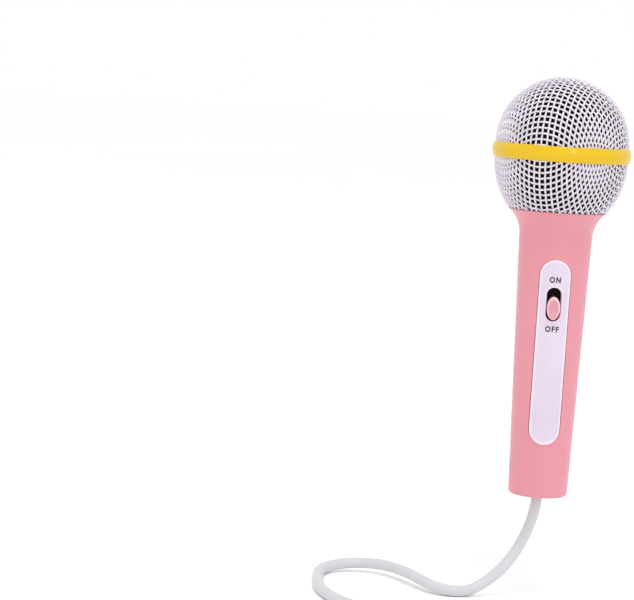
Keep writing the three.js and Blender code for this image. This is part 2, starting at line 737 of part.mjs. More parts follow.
// ---------- wires, cord and plug ----------
function wires() {
  const group = new THREE.Group();
  const toBoard = [
    [1, 0, -66.6], [2.6, 0, -65.4], [4.6, 0, -62.5], [4.9, 0, -58], [4.9, 0, -50],
    [4.9, 0, -38], [4.6, -0.6, -31], [3.6, -1.2, -28], [3.4, -1.3, -25.5],
  ];
  const toCapsule = [
    [3.4, -1.2, -5.5], [4.2, -0.6, -2.5], [4.9, 0, 2], [4.6, 0, 8], [3, 0, 16],
    [1.3, 0, 23], [1.2, 0, 25.8],
  ];
  [['red', -1, RED_WIRE], ['black', 1, BLACK_WIRE]].forEach(([colour, side, finish]) => {
    const mirrored = (route) => route.map(([x, y, z]) => [side * x, y, z]);
    group.add(part(`cord_wire_${colour}`, tube(mirrored(toBoard), WIRE_R, WIRE_SIDES, 12), finish));
    group.add(part(`capsule_wire_${colour}`, tube(mirrored(toCapsule), WIRE_R, WIRE_SIDES, 10), finish));
  });
  return group;
}

// From the clamp out of the handle's end, down to the surface, round and on to the coil.
const leadRoute = [
  [0, 0, -67], [0, 0, -80], [0, 0, -92.6], [-0.7, 0, -99], [-2.3, -0.2, -105.5],
  [-4.7, -0.4, -111.5], [-7.9, -0.9, -117.5], [-11.6, -1.7, -122.6], [-15.8, -2.9, -126.7],
  [-20.2, -4.5, -129.8], [-24.3, -6.2, -131.7], [-28.2, -7.6, CORD_Z], [-32, -8.3, CORD_Z + 0.1],
  [-36.3, -7.4, CORD_Z + 0.5], [-40.1, -4.5, CORD_Z + 1.1], [-43.4, -0.1, CORD_Z + 1.7],
  [-46.7, 5.8, CORD_Z + 2.1], [-50.2, 12.6, CORD_Z + 2.2], [-54.6, 19.8, CORD_Z + 2.1],
  [-60.4, 25.8, CORD_Z + 1.9], [-68, 28.4, CORD_Z + 1.5], [-75.8, 26.6, CORD_Z + 1],
  [-81.6, 21.2, CORD_Z + 0.5], [-84.6, 13.4, CORD_Z + 0.2], [-85, 2, CORD_Z],
  [-84.4, -12, CORD_Z], [-82, -25, CORD_Z], [-76.6, -38, CORD_Z], [-68, -49.5, CORD_Z],
  [-57, -57.8, CORD_Z + 0.1], [-43.6, -62.8, CORD_Z + 0.4], [-29.5, -64.5, CORD_Z + 0.7],
];

// From where the coil ends to the plug.
const tailRoute = [
  [-29.5, PLUG_Y, -128.8], [-36, PLUG_Y, -129.8], [-44, PLUG_Y, PLUG_Z],
];

function cordCoil() {
  const low = FLOOR_Z + COIL_LIFT;
  const high = low + COIL_H;
  const corner = CORD_R * 0.6;
  return turned(closed([
    [COIL_INNER_R + corner, low],
    [COIL_OUTER_R - corner, low],
    [COIL_OUTER_R, low + corner],
    [COIL_OUTER_R, high - corner],
    [COIL_OUTER_R - corner, high],
    [COIL_INNER_R + corner, high],
    [COIL_INNER_R, high - corner],
    [COIL_INNER_R, low + corner],
  ])).translate(COIL_X, COIL_Y, 0);
}

function roundedBox(path, lowX, highX, lowY, highY, radius) {
  path.absarc(highX - radius, lowY + radius, radius, -Math.PI / 2, 0);
  path.absarc(highX - radius, highY - radius, radius, 0, Math.PI / 2);
  path.absarc(lowX + radius, highY - radius, radius, Math.PI / 2, Math.PI);
  path.absarc(lowX + radius, lowY + radius, radius, Math.PI, 1.5 * Math.PI);
  return path;
}

function cordTie() {
  const thickness = COIL_LIFT - GAP;
  const inset = [Math.sqrt(COIL_INNER_R ** 2 - TIE_W ** 2 / 4) - GAP, COIL_OUTER_R + GAP];
  const height = [FLOOR_Z + thickness, FLOOR_Z + COIL_LIFT + COIL_H + GAP];
  const outline = roundedBox(
    new THREE.Shape(), inset[0] - thickness, inset[1] + thickness,
    height[0] - thickness, height[1] + thickness, TIE_CORNER_R + thickness,
  );
  outline.holes.push(roundedBox(new THREE.Path(), ...inset, ...height, TIE_CORNER_R));
  const options = { depth: TIE_W, curveSegments: 3, bevelEnabled: false };
  return weld(new THREE.ExtrudeGeometry(outline, options)
    .rotateX(Math.PI / 2)
    .translate(COIL_X, COIL_Y + TIE_W / 2, 0));
}

// The plug's pieces are turned about Z, then laid along -X.
function layPlug(geometry) {
  return geometry.rotateY(-Math.PI / 2).translate(PLUG_START_X, PLUG_Y, PLUG_Z);
}

function plug() {
  const bodyStart = RELIEF_L + GAP;
  const bodyEnd = bodyStart + PLUG_BODY_L;
  const sleeveStart = bodyEnd + GAP;
  const insulatorStart = sleeveStart + SLEEVE_L + GAP;
  const tipStart = insulatorStart + INSULATOR_L + GAP;
  const relief = [[0, 0], [2.8, 0], [3.1, 3], [3.6, RELIEF_L], [0, RELIEF_L]];
  const body = [
    [0, bodyStart], [3.7, bodyStart], [PLUG_R, bodyStart + 0.6],
    [PLUG_R, bodyEnd - 0.7], [3.6, bodyEnd], [0, bodyEnd],
  ];
  const sleeve = discProfile(JACK_R, sleeveStart, sleeveStart + SLEEVE_L);
  const insulator = discProfile(JACK_R, insulatorStart, insulatorStart + INSULATOR_L);
  const tip = [
    [0, tipStart], [1.45, tipStart], [JACK_R, tipStart + 0.5], [1.35, tipStart + 1.7],
    [1.6, tipStart + 2.6], [0.7, tipStart + TIP_L - 0.2], [0, tipStart + TIP_L],
  ];
  const group = new THREE.Group();
  group.add(
    part('plug_strain_relief', layPlug(turned(relief, SMALL_SIDES)), CORD_GREY),
    part('plug_body', layPlug(turned(body, SMALL_SIDES)), CORD_GREY),
    part('plug_sleeve', layPlug(turned(sleeve, SMALL_SIDES)), NICKEL),
    part('plug_insulator', layPlug(turned(insulator, SMALL_SIDES)), BLACK_PLASTIC),
    part('plug_tip', layPlug(turned(tip, SMALL_SIDES)), NICKEL),
  );
  return group;
}

function cord() {
  const group = new THREE.Group();
  group.add(
    part('cord_lead', tube(leadRoute, CORD_R, 8, 44), CORD_GREY),
    part('cord_coil', cordCoil(), CORD_GREY),
    part('cord_tail', tube(tailRoute, CORD_R, 8, 3), CORD_GREY),
    part('cord_tie', cordTie(), BLACK_PLASTIC),
  );
  return group;
}

const microphone = new THREE.Group();
microphone.add(head(), capsule(), switchGroup(), handle(), wires(), cord(), plug());

export default microphone;
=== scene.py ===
"""The looks of the karaoke microphone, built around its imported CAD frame.

Geometry is worked out in millimetres and stored in metres. +Z runs up the handle's
axis to the head, and the switch faces -Y.
"""
from math import asin, atan, copysign, cos, hypot, pi, radians, sin, sqrt

import bpy
import numpy as np
from mathutils import Matrix, Vector, geometry, noise


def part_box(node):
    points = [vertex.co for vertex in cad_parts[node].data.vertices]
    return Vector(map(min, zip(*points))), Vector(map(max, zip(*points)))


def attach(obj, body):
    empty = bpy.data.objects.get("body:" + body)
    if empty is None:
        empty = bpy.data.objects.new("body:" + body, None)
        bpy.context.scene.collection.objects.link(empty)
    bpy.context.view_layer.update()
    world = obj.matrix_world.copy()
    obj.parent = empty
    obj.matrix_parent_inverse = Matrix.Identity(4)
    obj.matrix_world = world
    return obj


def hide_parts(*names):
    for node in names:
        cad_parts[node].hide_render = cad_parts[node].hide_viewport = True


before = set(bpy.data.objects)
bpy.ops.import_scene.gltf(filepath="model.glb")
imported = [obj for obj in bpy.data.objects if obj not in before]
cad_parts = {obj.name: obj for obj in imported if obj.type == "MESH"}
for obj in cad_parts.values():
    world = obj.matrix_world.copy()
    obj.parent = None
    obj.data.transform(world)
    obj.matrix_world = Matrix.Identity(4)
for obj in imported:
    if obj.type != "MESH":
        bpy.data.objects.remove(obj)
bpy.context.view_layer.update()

MM = 0.001
GAP = 0.3


def corners(node):
    """A CAD node's lowest and highest corner, in millimetres."""
    low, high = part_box(node)
    return low / MM, high / MM


# ---------- sizes taken from the CAD frame ----------
RING_LOW, RING_HIGH = corners("grille_ring")
RING_R = RING_HIGH.x
RING_BORE_R = 26.5
MESH_UPPER_LOW, MESH_UPPER_HIGH = corners("grille_upper")
MESH_LOWER_TOP_Z = corners("grille_lower")[1].z
MESH_R = MESH_UPPER_HIGH.x
DOME_Z = MESH_UPPER_HIGH.z - MESH_R
BOWL_Z = RING_LOW.z
HANDLE_BOTTOM_Z, NECK_TOP_Z = (corner.z for corner in corners("handle_front_shell"))
PLATE_LOW, PLATE_HIGH = corners("face_plate")
PLATE_BOTTOM_Z = PLATE_LOW.z
PLATE_TOP_Z = PLATE_HIGH.z
PLATE_W = PLATE_HIGH.x - PLATE_LOW.x

# ---------- sizes that the CAD source names ----------
HANDLE_BOTTOM_R = 11.7
HANDLE_TOP_Z = 10.6
HANDLE_TOP_R = 14.32
HANDLE_EDGE_R = 1.3
WALL = 2.2
FLARE_R = 13.5
FLARE_END = radians(50.5)
NECK_SOCKET_R = 15.2
NECK_SOCKET_DEPTH = 3.1
TAPER = (HANDLE_TOP_R - HANDLE_BOTTOM_R) / (HANDLE_TOP_Z - HANDLE_BOTTOM_Z)
LEAN = atan(TAPER)
FLARE_CENTRE_R = HANDLE_TOP_R + FLARE_R * cos(LEAN)
FLARE_CENTRE_Z = HANDLE_TOP_Z - FLARE_R * sin(LEAN)
CORD_HOLE_R = 3.5
BOWL_H = 29.5
SWITCH_Z = -15.4
SLOT_W = 5.8
SLOT_L = 13.2
KNOB_L = 9.0
KNOB_OFF_Z = -1.5
PLATE_RISE = 0.45
PLATE_SINK = 0.9
SCREW_SEAT_Y = 4.2
SCREW_HEAD_R = 2.1
CORD_R = 2.2
COIL_X = -12
COIL_Y = -93
COIL_MEAN_R = 24
COIL_LIFT = 0.9
FLOOR_Z = corners("cord_coil")[0].z - COIL_LIFT
CORD_Z = FLOOR_Z + CORD_R
PLUG_Y = COIL_Y - COIL_MEAN_R - 2 * CORD_R
PLUG_Z = FLOOR_Z + 4.2
PLUG_START_X = -44.3


# ---------- camera ----------
CAMERA_AZIMUTH = radians(4.6)
CAMERA_ELEVATION = radians(1.9)
CAMERA_DISTANCE = 1000
CAMERA_YAW = radians(-0.70)
CAMERA_PITCH = radians(-5.59)
CAMERA_ROLL = radians(3.58)
SENSOR_MM = 36
LENS_MM = 143.6
CLIP_M = (0.05, 60)


def direction(yaw, pitch):
    """The direction of +Y, turned to the right by yaw and upwards by pitch."""
    return Vector((sin(yaw) * cos(pitch), cos(yaw) * cos(pitch), sin(pitch)))


def add_camera():
    head = Vector((0, 0, (RING_LOW.z + RING_HIGH.z) / 2))
    place = head - CAMERA_DISTANCE * direction(CAMERA_AZIMUTH, -CAMERA_ELEVATION)
    forward = direction(CAMERA_YAW, CAMERA_PITCH)
    flat_right = Vector((cos(CAMERA_YAW), -sin(CAMERA_YAW), 0))
    flat_up = flat_right.cross(forward)
    right = flat_right * cos(CAMERA_ROLL) + flat_up * sin(CAMERA_ROLL)
    up = flat_up * cos(CAMERA_ROLL) - flat_right * sin(CAMERA_ROLL)
    data = bpy.data.cameras.new("camera")
    data.sensor_width = SENSOR_MM
    data.lens = LENS_MM
    data.clip_start, data.clip_end = CLIP_M
    camera = add_object("camera", data)
    turn = Matrix((right, up, -forward)).transposed()
    camera.matrix_world = Matrix.Translation(place * MM) @ turn.to_4x4()
    bpy.context.scene.camera = camera


# ---------- helpers ----------
def clamped(value):
    return min(max(value, 0), 1)


def eased(value):
    """A smooth step from 0 to 1, flat at both ends."""
    value = clamped(value)
    return value * value * (3 - 2 * value)


def unit(vectors):
    """The rows of an array at length 1."""
    return vectors / np.linalg.norm(vectors, axis=1, keepdims=True)


def add_object(name, data):
    thing = bpy.data.objects.new(name, data)
    bpy.context.scene.collection.objects.link(thing)
    return thing


def mesh_of(name, points, faces):
    """A mesh from points in millimetres."""
    mesh = bpy.data.meshes.new(name)
    mesh.from_pydata((np.asarray(points, float) * MM).tolist(), [], faces)
    return mesh


def crease(mesh, degrees):
    """Shades a mesh smooth, apart from the edges where it turns by more than that."""
    mesh.shade_smooth()
    mesh.set_sharp_from_angle(angle=radians(degrees))


def add_mesh(name, points, faces, crease_degrees=38):
    mesh = mesh_of(name, points, faces)
    mesh.validate()
    crease(mesh, crease_degrees)
    return add_object(name, mesh)


def evaluated_mesh(piece):
    """A copy of an object's mesh with its modifiers applied."""
    depsgraph = bpy.context.evaluated_depsgraph_get()
    return bpy.data.meshes.new_from_object(piece.evaluated_get(depsgraph))


def finish_piece(piece, finish, slot, *nodes, body="handle"):
    """Gives a piece its material and its body, and hides the CAD nodes that it stands for. The slot is not
    used.
    """
    piece.data.materials.clear()
    piece.data.materials.append(finish.material)
    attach(piece, body)
    if nodes:
        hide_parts(*nodes)
    return piece


def moved(points, place):
    """Points moved by a matrix in millimetres, if there is one."""
    return points if place is None else [tuple(place @ Vector(p)) for p in points]


def arc(centre_r, centre_z, radius, start, end, steps):
    """Points of a profile arc, both ends included."""
    angles = np.linspace(start, end, steps + 1)
    return [(centre_r + radius * cos(a), centre_z + radius * sin(a)) for a in angles]


def rectangle(half_width, low, high):
    """A rectangle's (x, z) outline, counterclockwise seen from -Y."""
    return [(-half_width, low), (half_width, low), (half_width, high), (-half_width, high)]


def stadium(width, low, high, steps=23):
    """A stadium's (x, z) outline, counterclockwise seen from -Y."""
    r = width / 2
    return arc(0, high - r, r, 0, pi, steps) + arc(0, low + r, r, pi, 2 * pi, steps)


def softened(profile, steps=4):
    """The inner points of an open profile, with an arc at each point that has a third value."""
    result = []
    for before, here, after in zip(profile, profile[1:], profile[2:]):
        corner = Vector(here[:2])
        if len(here) == 2:
            result.append(tuple(corner))
            continue
        back, ahead = Vector(before[:2]) - corner, Vector(after[:2]) - corner
        reach = min(here[2], back.length * 0.49, ahead.length * 0.49)
        start, end = corner + back.normalized() * reach, corner + ahead.normalized() * reach
        for step in range(steps + 1):
            t = step / steps
            result.append(tuple(start * (1 - t) ** 2 + corner * 2 * t * (1 - t) + end * t ** 2))
    return result


def rounded(outline, radius, steps):
    """A closed outline with an arc at every corner."""
    arced = [(*corner, radius) for corner in outline]
    return softened([arced[-1], *arced, arced[0]], steps)


def loft_faces(length, sides, closed=False, flip=False, start=0):
    """Faces over rings of vertices in order, capped at both ends or closed on themselves."""
    faces = []
    for ring in range(length if closed else length - 1):
        low, high = start + ring * sides, start + (ring + 1) % length * sides
        for k in range(sides):
            after = (k + 1) % sides
            faces.append((low + k, low + after, high + after, high + k))
    if not closed:
        last = start + (length - 1) * sides
        faces.append(tuple(range(start + sides - 1, start - 1, -1)))
        faces.append(tuple(range(last, last + sides)))
    return [face[:1] + face[:0:-1] for face in faces] if flip else faces


def revolve(profile, sides, closed=True, place=None):
    """Points and faces of a solid of revolution about Z, from (radius, z) points."""
    points, rings, faces = [], [], []
    for r, z in profile:
        count = sides if r > 1e-6 else 1
        rings.append(range(len(points), len(points) + count))
        for k in range(count):
            a = 2 * pi * k / sides
            points.append((r * cos(a), r * sin(a), z) if count > 1 else (0, 0, z))
    following = rings[1:] + rings[:1] if closed else rings[1:]
    for low, high in zip(rings, following):
        for k in range(sides):
            after = (k + 1) % sides
            around = (
                low[k % len(low)], low[after % len(low)], high[after % len(high)], high[k % len(high)])
            face = tuple(dict.fromkeys(around))
            if len(face) > 2:
                faces.append(face)
    return moved(points, place), faces


def carve(piece, tools, operation="DIFFERENCE"):
    """Applies one boolean after another to a piece, and removes the tools."""
    for tool in tools:
        modifier = piece.modifiers.new("carve", "BOOLEAN")
        modifier.operation = operation
        modifier.object = tool
        modifier.solver = "EXACT"
    mesh = evaluated_mesh(piece)
    piece.modifiers.clear()
    piece.data = mesh
    for tool in tools:
        bpy.data.objects.remove(tool)


def add_tool(points, faces):
    return add_object("tool", mesh_of("tool", points, faces))


def prism_tool(outline, low_y, high_y, place=None):
    """A tool with that outline between two y values."""
    points = [(x, y, z) for y in (low_y, high_y) for x, z in outline]
    return add_tool(moved(points, place), loft_faces(2, len(outline), flip=True))


def catmull_rom(route, step):
    """Points about a step apart on the smooth centripetal curve through a route."""
    route = [Vector(p) for p in route]
    ends = [2 * route[0] - route[1], 2 * route[-1] - route[-2]]
    knots = [ends[0], *route, ends[1]]
    result = []
    for k in range(len(route) - 1):
        p0, p1, p2, p3 = knots[k:k + 4]
        d0, d1, d2 = ((b - a).length ** 0.5 for a, b in ((p0, p1), (p1, p2), (p2, p3)))
        m1 = ((p1 - p0) / d0 - (p2 - p0) / (d0 + d1) + (p2 - p1) / d1) * d1
        m2 = ((p2 - p1) / d1 - (p3 - p1) / (d1 + d2) + (p3 - p2) / d2) * d1
        count = max(1, round((p2 - p1).length / step))
        for i in range(count):
            t = i / count
            result.append(
                (2 * t ** 3 - 3 * t ** 2 + 1) * p1 + (t ** 3 - 2 * t ** 2 + t) * m1
                + (3 * t ** 2 - 2 * t ** 3) * p2 + (t ** 3 - t ** 2) * m2
            )
    return result + [route[-1]]


def tube_mesh(path, radius, sides):
    """Points and faces of a closed round tube along a path, without twist."""
    points = []
    across = (path[1] - path[0]).orthogonal()
    for i, centre in enumerate(path):
        tangent = (path[min(i + 1, len(path) - 1)] - path[max(i - 1, 0)]).normalized()
        across = (across - tangent * across.dot(tangent)).normalized()
        up = tangent.cross(across)
        for k in range(sides):
            a = 2 * pi * k / sides
            points.append(tuple(centre + radius * (cos(a) * across + sin(a) * up)))
    return points, loft_faces(len(path), sides)


# ---------- materials ----------
def linear(red, green, blue):
    """A screen colour, 0 to 255, as linear values with alpha."""
    values = [value / 255 for value in (red, green, blue)]
    return (*[v / 12.92 if v <= 0.04045 else ((v + 0.055) / 1.055) ** 2.4 for v in values], 1)


def tinted(colour, factor):
    return tuple(min(1.0, channel * factor) for channel in colour[:3]) + (1,)


def set_inputs(node, values):
    """Sets a node's inputs by name, with _ in place of a space."""
    for name, value in values.items():
        node.inputs[name.replace("_", " ")].default_value = value


class Paint:
    """A material under construction, with patterns laid out in the piece's own space."""

    def __init__(self, name, roughness, metallic=0.0):
        self.material = bpy.data.materials.new(name)
        self.material.use_nodes = True
        self.tree = self.material.node_tree
        self.shader = self.tree.nodes["Principled BSDF"]
        self.set(Roughness=roughness, Metallic=metallic)
        self.space = self.node("TexCoord").outputs["Object"]
        self.height = None

    def set(self, **values):
        """Sets the shader's own inputs."""
        set_inputs(self.shader, values)

    def node(self, kind, **values):
        node = self.tree.nodes.new("ShaderNode" + kind)
        set_inputs(node, values)
        return node

    def link(self, source, target):
        self.tree.links.new(source, target)

    def pattern(self, kind, output, stretch=None, **values):
        """A texture's output, in the piece's own space or that space stretched."""
        node = self.node("Tex" + kind, **values)
        space = self.space
        if stretch:
            mapping = self.node("Mapping", Scale=stretch)
            self.link(space, mapping.inputs["Vector"])
            space = mapping.outputs["Vector"]
        self.link(space, node.inputs["Vector"])
        return node.outputs[output]

    def noise(self, per_metre, detail, stretch=None):
        return self.pattern("Noise", "Fac", stretch, Scale=per_metre, Detail=detail)

    def colours(self, factor, *stops):
        """A colour ramp over a pattern. Each of its two stops is (position, colour)."""
        ramp = self.node("ValToRGB")
        for element, (position, colour) in zip(ramp.color_ramp.elements, stops):
            element.position = position
            element.color = colour
        self.link(factor, ramp.inputs["Fac"])
        return ramp.outputs["Color"]

    def with_painted_highlight(self, socket, colour):
        """A colour output that turns into a plain colour where the mesh's rim attribute is 1: a painted
        highlight along an edge.
        """
        mark = self.node("Attribute")
        mark.attribute_name = "rim"
        mix = self.node("Mix")
        mix.data_type = "RGBA"
        self.link(mark.outputs["Fac"], mix.inputs["Factor"])
        self.link(socket, mix.inputs["A"])
        mix.inputs["B"].default_value = colour
        return mix.outputs["Result"]

    def base(self, socket):
        self.link(socket, self.shader.inputs["Base Color"])

    def roughen(self, factor, low, high):
        """Lets the roughness follow a pattern."""
        node = self.node("MapRange", From_Min=0.3, From_Max=0.7, To_Min=low, To_Max=high)
        self.link(factor, node.inputs["Value"])
        self.link(node.outputs["Result"], self.shader.inputs["Roughness"])

    def bump(self, factor, depth_mm, strength):
        """Adds a relief of that depth. Several reliefs stack."""
        node = self.node("Bump", Strength=strength, Distance=depth_mm * MM)
        self.link(factor, node.inputs["Height"])
        if self.height is not None:
            self.link(self.height, node.inputs["Normal"])
        self.height = node.outputs["Normal"]
        self.link(self.height, self.shader.inputs["Normal"])


def plastic(name, roughness, grain_mm):
    """Moulded plastic without its colour: a fine spark-eroded grain and faint handling marks."""
    paint = Paint(name, roughness)
    paint.roughen(paint.noise(420, 6), roughness - 0.05, roughness + 0.07)
    paint.bump(paint.noise(2600, 2), grain_mm, 0.25)
    paint.bump(paint.noise(60, 1), 0.05, 0.1)
    return paint


def moulded(name, colour, roughness, spread=0.05, grain_mm=0.012):
    """Moulded plastic with cloudy pigment."""
    paint = plastic(name, roughness, grain_mm)
    paint.base(paint.colours(
        paint.noise(70, 5), (0.3, tinted(colour, 1 - spread)), (0.7, tinted(colour, 1 + spread))))
    return paint


def metal(name, colour, roughness, stretch=None, spread=0.12, scratch_mm=0.01):
    """Bare or plated metal with drawn scratches and slight tarnish."""
    paint = Paint(name, roughness, 1.0)
    paint.base(paint.colours(
        paint.noise(160, 6), (0.3, tinted(colour, 1 - spread)), (0.65, colour)))
    scratches = paint.noise(900, 5, stretch)
    paint.roughen(scratches, roughness - 0.08, roughness + 0.12)
    paint.bump(scratches, scratch_mm, 0.5)
    return paint


def rubber(name, colour, roughness=0.75):
    paint = Paint(name, roughness)
    paint.base(paint.colours(
        paint.noise(300, 6), (0.35, tinted(colour, 0.75)), (0.7, tinted(colour, 1.3))))
    paint.roughen(paint.noise(700, 4), roughness - 0.1, roughness + 0.1)
    paint.bump(paint.noise(2600, 2), 0.02, 0.5)
    return paint


def open_foam():
    """Reticulated speaker foam: small open cells, nearly black."""
    paint = Paint("foam", 0.95)
    cells = paint.pattern("Voronoi", "Distance", Scale=1500)
    paint.base(paint.colours(cells, (0.1, linear(2, 2, 3)), (0.6, linear(18, 17, 20))))
    paint.bump(cells, 0.25, 0.8)
    paint.set(Specular_IOR_Level=0.15)
    return paint


# ---------- the cord: one smooth line from the clamp to the plug ----------
LEAD_ROUTE = [
    (0, 0, -67), (0, 0, -80), (0, 0, -92.6), (-0.7, 0, -99), (-2.3, -0.2, -105.5),
    (-4.7, -0.4, -111.5), (-7.9, -0.9, -117.5), (-11.6, -1.7, -122.6), (-15.8, -2.9, -126.7),
    (-20.2, -4.5, -129.8), (-24.3, -6.2, -131.7),
    *[(x, y, CORD_Z + lift) for x, y, lift in (
        (-28.2, -7.6, 0), (-32, -8.3, 0.1), (-36.3, -7.4, 0.5), (-40.1, -4.5, 1.1),
        (-43.4, -0.1, 1.7), (-46.7, 5.8, 2.1), (-50.2, 12.6, 2.2), (-54.6, 19.8, 2.1),
        (-60.4, 25.8, 1.9), (-68, 28.4, 1.5), (-75.8, 26.6, 1), (-81.6, 21.2, 0.5),
        (-84.6, 13.4, 0.2), (-85, 2, 0), (-84.4, -12, 0), (-82, -25, 0), (-76.6, -38, 0),
        (-68, -49.5, 0), (-57, -57.8, 0.1), (-43.6, -62.8, 0.4), (-29.5, -64.5, 0.7),
    )],
]
TAIL_ROUTE = [(-29.5, PLUG_Y, -128.8), (-36, PLUG_Y, -129.8), (-44, PLUG_Y, PLUG_Z)]
CORD_STEP = 1.6
CORD_SIDES = 18
COIL_TURNS_IN = 2.0
COIL_TURNS_CLIMB = 0.5
COIL_TURNS_OUT = 2.0
COIL_STEPS_PER_TURN = 24
COIL_RUN_IN = 8
LAYER_1_Z = FLOOR_Z + COIL_LIFT + CORD_R
LAYER_2_Z = LAYER_1_Z + 2 * CORD_R


def coil_points():
    """Two flat layers of turns: inwards on the lower one, up, and outwards on the upper one."""
    outer, inner = COIL_MEAN_R + 2 * CORD_R, COIL_MEAN_R - 2 * CORD_R
    climb_end = COIL_TURNS_IN + COIL_TURNS_CLIMB
    turns = climb_end + COIL_TURNS_OUT
    points = []
    for step in range(round(turns * COIL_STEPS_PER_TURN) + 1):
        turn = step / COIL_STEPS_PER_TURN
        inwards = min(turn / COIL_TURNS_IN, 1)
        outwards = max(0, turn - climb_end) / COIL_TURNS_OUT
        rise = eased((turn - COIL_TURNS_IN) / COIL_TURNS_CLIMB)
        radius = outer + (inner - outer) * (inwards - outwards)
        angle = pi / 2 - 2 * pi * turn
        points.append((
            COIL_X + radius * cos(angle),
            COIL_Y + radius * sin(angle),
            LAYER_1_Z + (LAYER_2_Z - LAYER_1_Z) * rise,
        ))
    return points


def add_cord(sheath):
    coil = coil_points()
    run_in = (coil[0][0] - COIL_RUN_IN, coil[0][1], LAYER_1_Z - 0.1)
    run_out = (coil[-1][0] - COIL_RUN_IN, coil[-1][1], LAYER_2_Z - 0.4)
    path = catmull_rom([*LEAD_ROUTE, run_in, *coil, run_out, *TAIL_ROUTE], CORD_STEP)
    length = sum((b - a).length for a, b in zip(path, path[1:]))
    cord = add_mesh("cord", *tube_mesh(path, CORD_R, CORD_SIDES))
    finish_piece(cord, sheath, "cord_sheath", "cord_lead", "cord_coil", "cord_tail")
    return cord, [tuple(p * MM) for p in path], length * MM


# ---------- the woven wire head ----------
WIRE_HALF_W = 0.42
WIRE_HALF_T = 0.34
WEAVE_RISE = 0.22
WIRE_PITCH = 2.25
WIRE_STEPS = 4
WIRE_SIDES = 8
WEAVE_AZIMUTH = radians(-112.7)
WIRE_INSET = WIRE_HALF_T + WEAVE_RISE
WIRE_LAYER_R = MESH_R - WIRE_INSET
WIRE_END_GAP = 0.3
NECK_REST = 0.12
SHORTEST_STUB = 0.05


def cloth_net(flat_r, tall_r, step, count):
    """Nodes of a square cloth laid over a dome from its pole, one quarter of it.

    The dome is an ellipsoid about the origin with its pole at +tall_r. Node (i, j) is i steps
    along one thread and j along the other, and every side of every cell keeps its length.
    """
    nodes = np.full((count, count, 3), np.nan)
    squash = np.array((1 / flat_r, 1 / flat_r, 1 / tall_r)) ** 2
    angle = 0.0
    nodes[0, 0] = (0, 0, tall_r)
    for i in range(1, count):
        before = nodes[i - 1, 0]
        low, high = angle, angle + 3 * step / min(flat_r, tall_r)
        for _ in range(40):
            angle = (low + high) / 2
            here = np.array((flat_r * sin(angle), 0, tall_r * cos(angle)))
            low, high = (angle, high) if np.linalg.norm(here - before) < step else (low, angle)
        if angle > pi * 0.7:
            break
        nodes[i, 0] = here
        nodes[0, i] = here[[1, 0, 2]]
    for total in range(2, 2 * count - 1):
        i = np.arange(max(1, total - count + 1), min(count, total))
        j = total - i
        first, second, corner = nodes[i - 1, j], nodes[i, j - 1], nodes[i - 1, j - 1]
        middle = (first + second) / 2
        side = second - first
        width = np.linalg.norm(side, axis=1, keepdims=True)
        side = side / width
        outwards = middle - corner
        outwards = unit(outwards - side * (outwards * side).sum(1, keepdims=True))
        normal = np.cross(side, outwards)
        with np.errstate(invalid="ignore"):
            reach = np.sqrt(step ** 2 - width ** 2 / 4)
        turn = np.zeros((len(i), 1))
        for _ in range(12):
            spoke = outwards * np.cos(turn) + normal * np.sin(turn)
            across = normal * np.cos(turn) - outwards * np.sin(turn)
            here = middle + reach * spoke
            error = (here ** 2 * squash).sum(1, keepdims=True) - 1
            slope = 2 * reach * (here * squash * across).sum(1, keepdims=True)
            turn = turn - np.clip(error / np.where(np.abs(slope) < 1e-9, 1e-9, slope), -0.5, 0.5)
        good = np.abs(error[:, 0]) < 1e-6
        nodes[i[good], j[good]] = here[good]
    return nodes


def clipped_run(points, normals, start, end, low_z, high_z):
    """Part of a wire, lengthened at both ends to the height that it stops at."""
    line, lean = list(points[start:end]), list(normals[start:end])
    for inner, outer in ((start, start - 1), (end - 1, end)):
        if not 0 <= outer < len(points) or np.isnan(points[outer, 2]):
            continue
        limit = low_z if points[outer, 2] <= low_z else high_z
        share = (limit - points[inner, 2]) / (points[outer, 2] - points[inner, 2])
        if share >= SHORTEST_STUB:
            at = 0 if inner == start else len(line)
            line.insert(at, points[inner] + share * (points[outer] - points[inner]))
            lean.insert(at, normals[inner])
    return np.array(line), np.array(lean)


def wire_runs(flat_r, tall_r, upwards, middle_z, low_z, high_z):
    """Centrelines of every wire on one half of the head, with the surface normal at each point."""
    step = WIRE_PITCH / WIRE_STEPS
    count = int(2.2 * max(flat_r, tall_r) / step)
    quarter = cloth_net(flat_r, tall_r, step, count)
    turn = np.array((
        (cos(WEAVE_AZIMUTH), sin(WEAVE_AZIMUTH), 0),
        (-sin(WEAVE_AZIMUTH), cos(WEAVE_AZIMUTH), 0),
        (0, 0, 1 if upwards else -1),
    ))
    squash = np.array((1 / flat_r, 1 / flat_r, 1 / tall_r)) ** 2
    along = np.arange(-count + 1, count)
    last_wire = (count - 1) // WIRE_STEPS
    runs = []
    for family in (0, 1):
        for wire in range(-last_wire, last_wire + 1):
            points = quarter[abs(wire * WIRE_STEPS), np.abs(along)].copy()
            points[:, 0] *= copysign(1, wire)
            points[:, 1] *= np.where(along < 0, -1, 1)
            if family:
                points = points[:, [1, 0, 2]]
            normals = unit(points * squash)
            phase = pi * (along / WIRE_STEPS + wire + family)
            points = (points + normals * (WEAVE_RISE * np.cos(phase))[:, None]) @ turn
            normals = normals @ turn
            points[:, 2] += middle_z
            inside = (points[:, 2] > low_z) & (points[:, 2] < high_z)
            edges = np.flatnonzero(np.diff(np.concatenate(([0], inside.astype(int), [0]))))
            for start, end in zip(edges[::2], edges[1::2]):
                if end - start > 2:
                    runs.append(clipped_run(points, normals, start, end, low_z, high_z))
    return runs


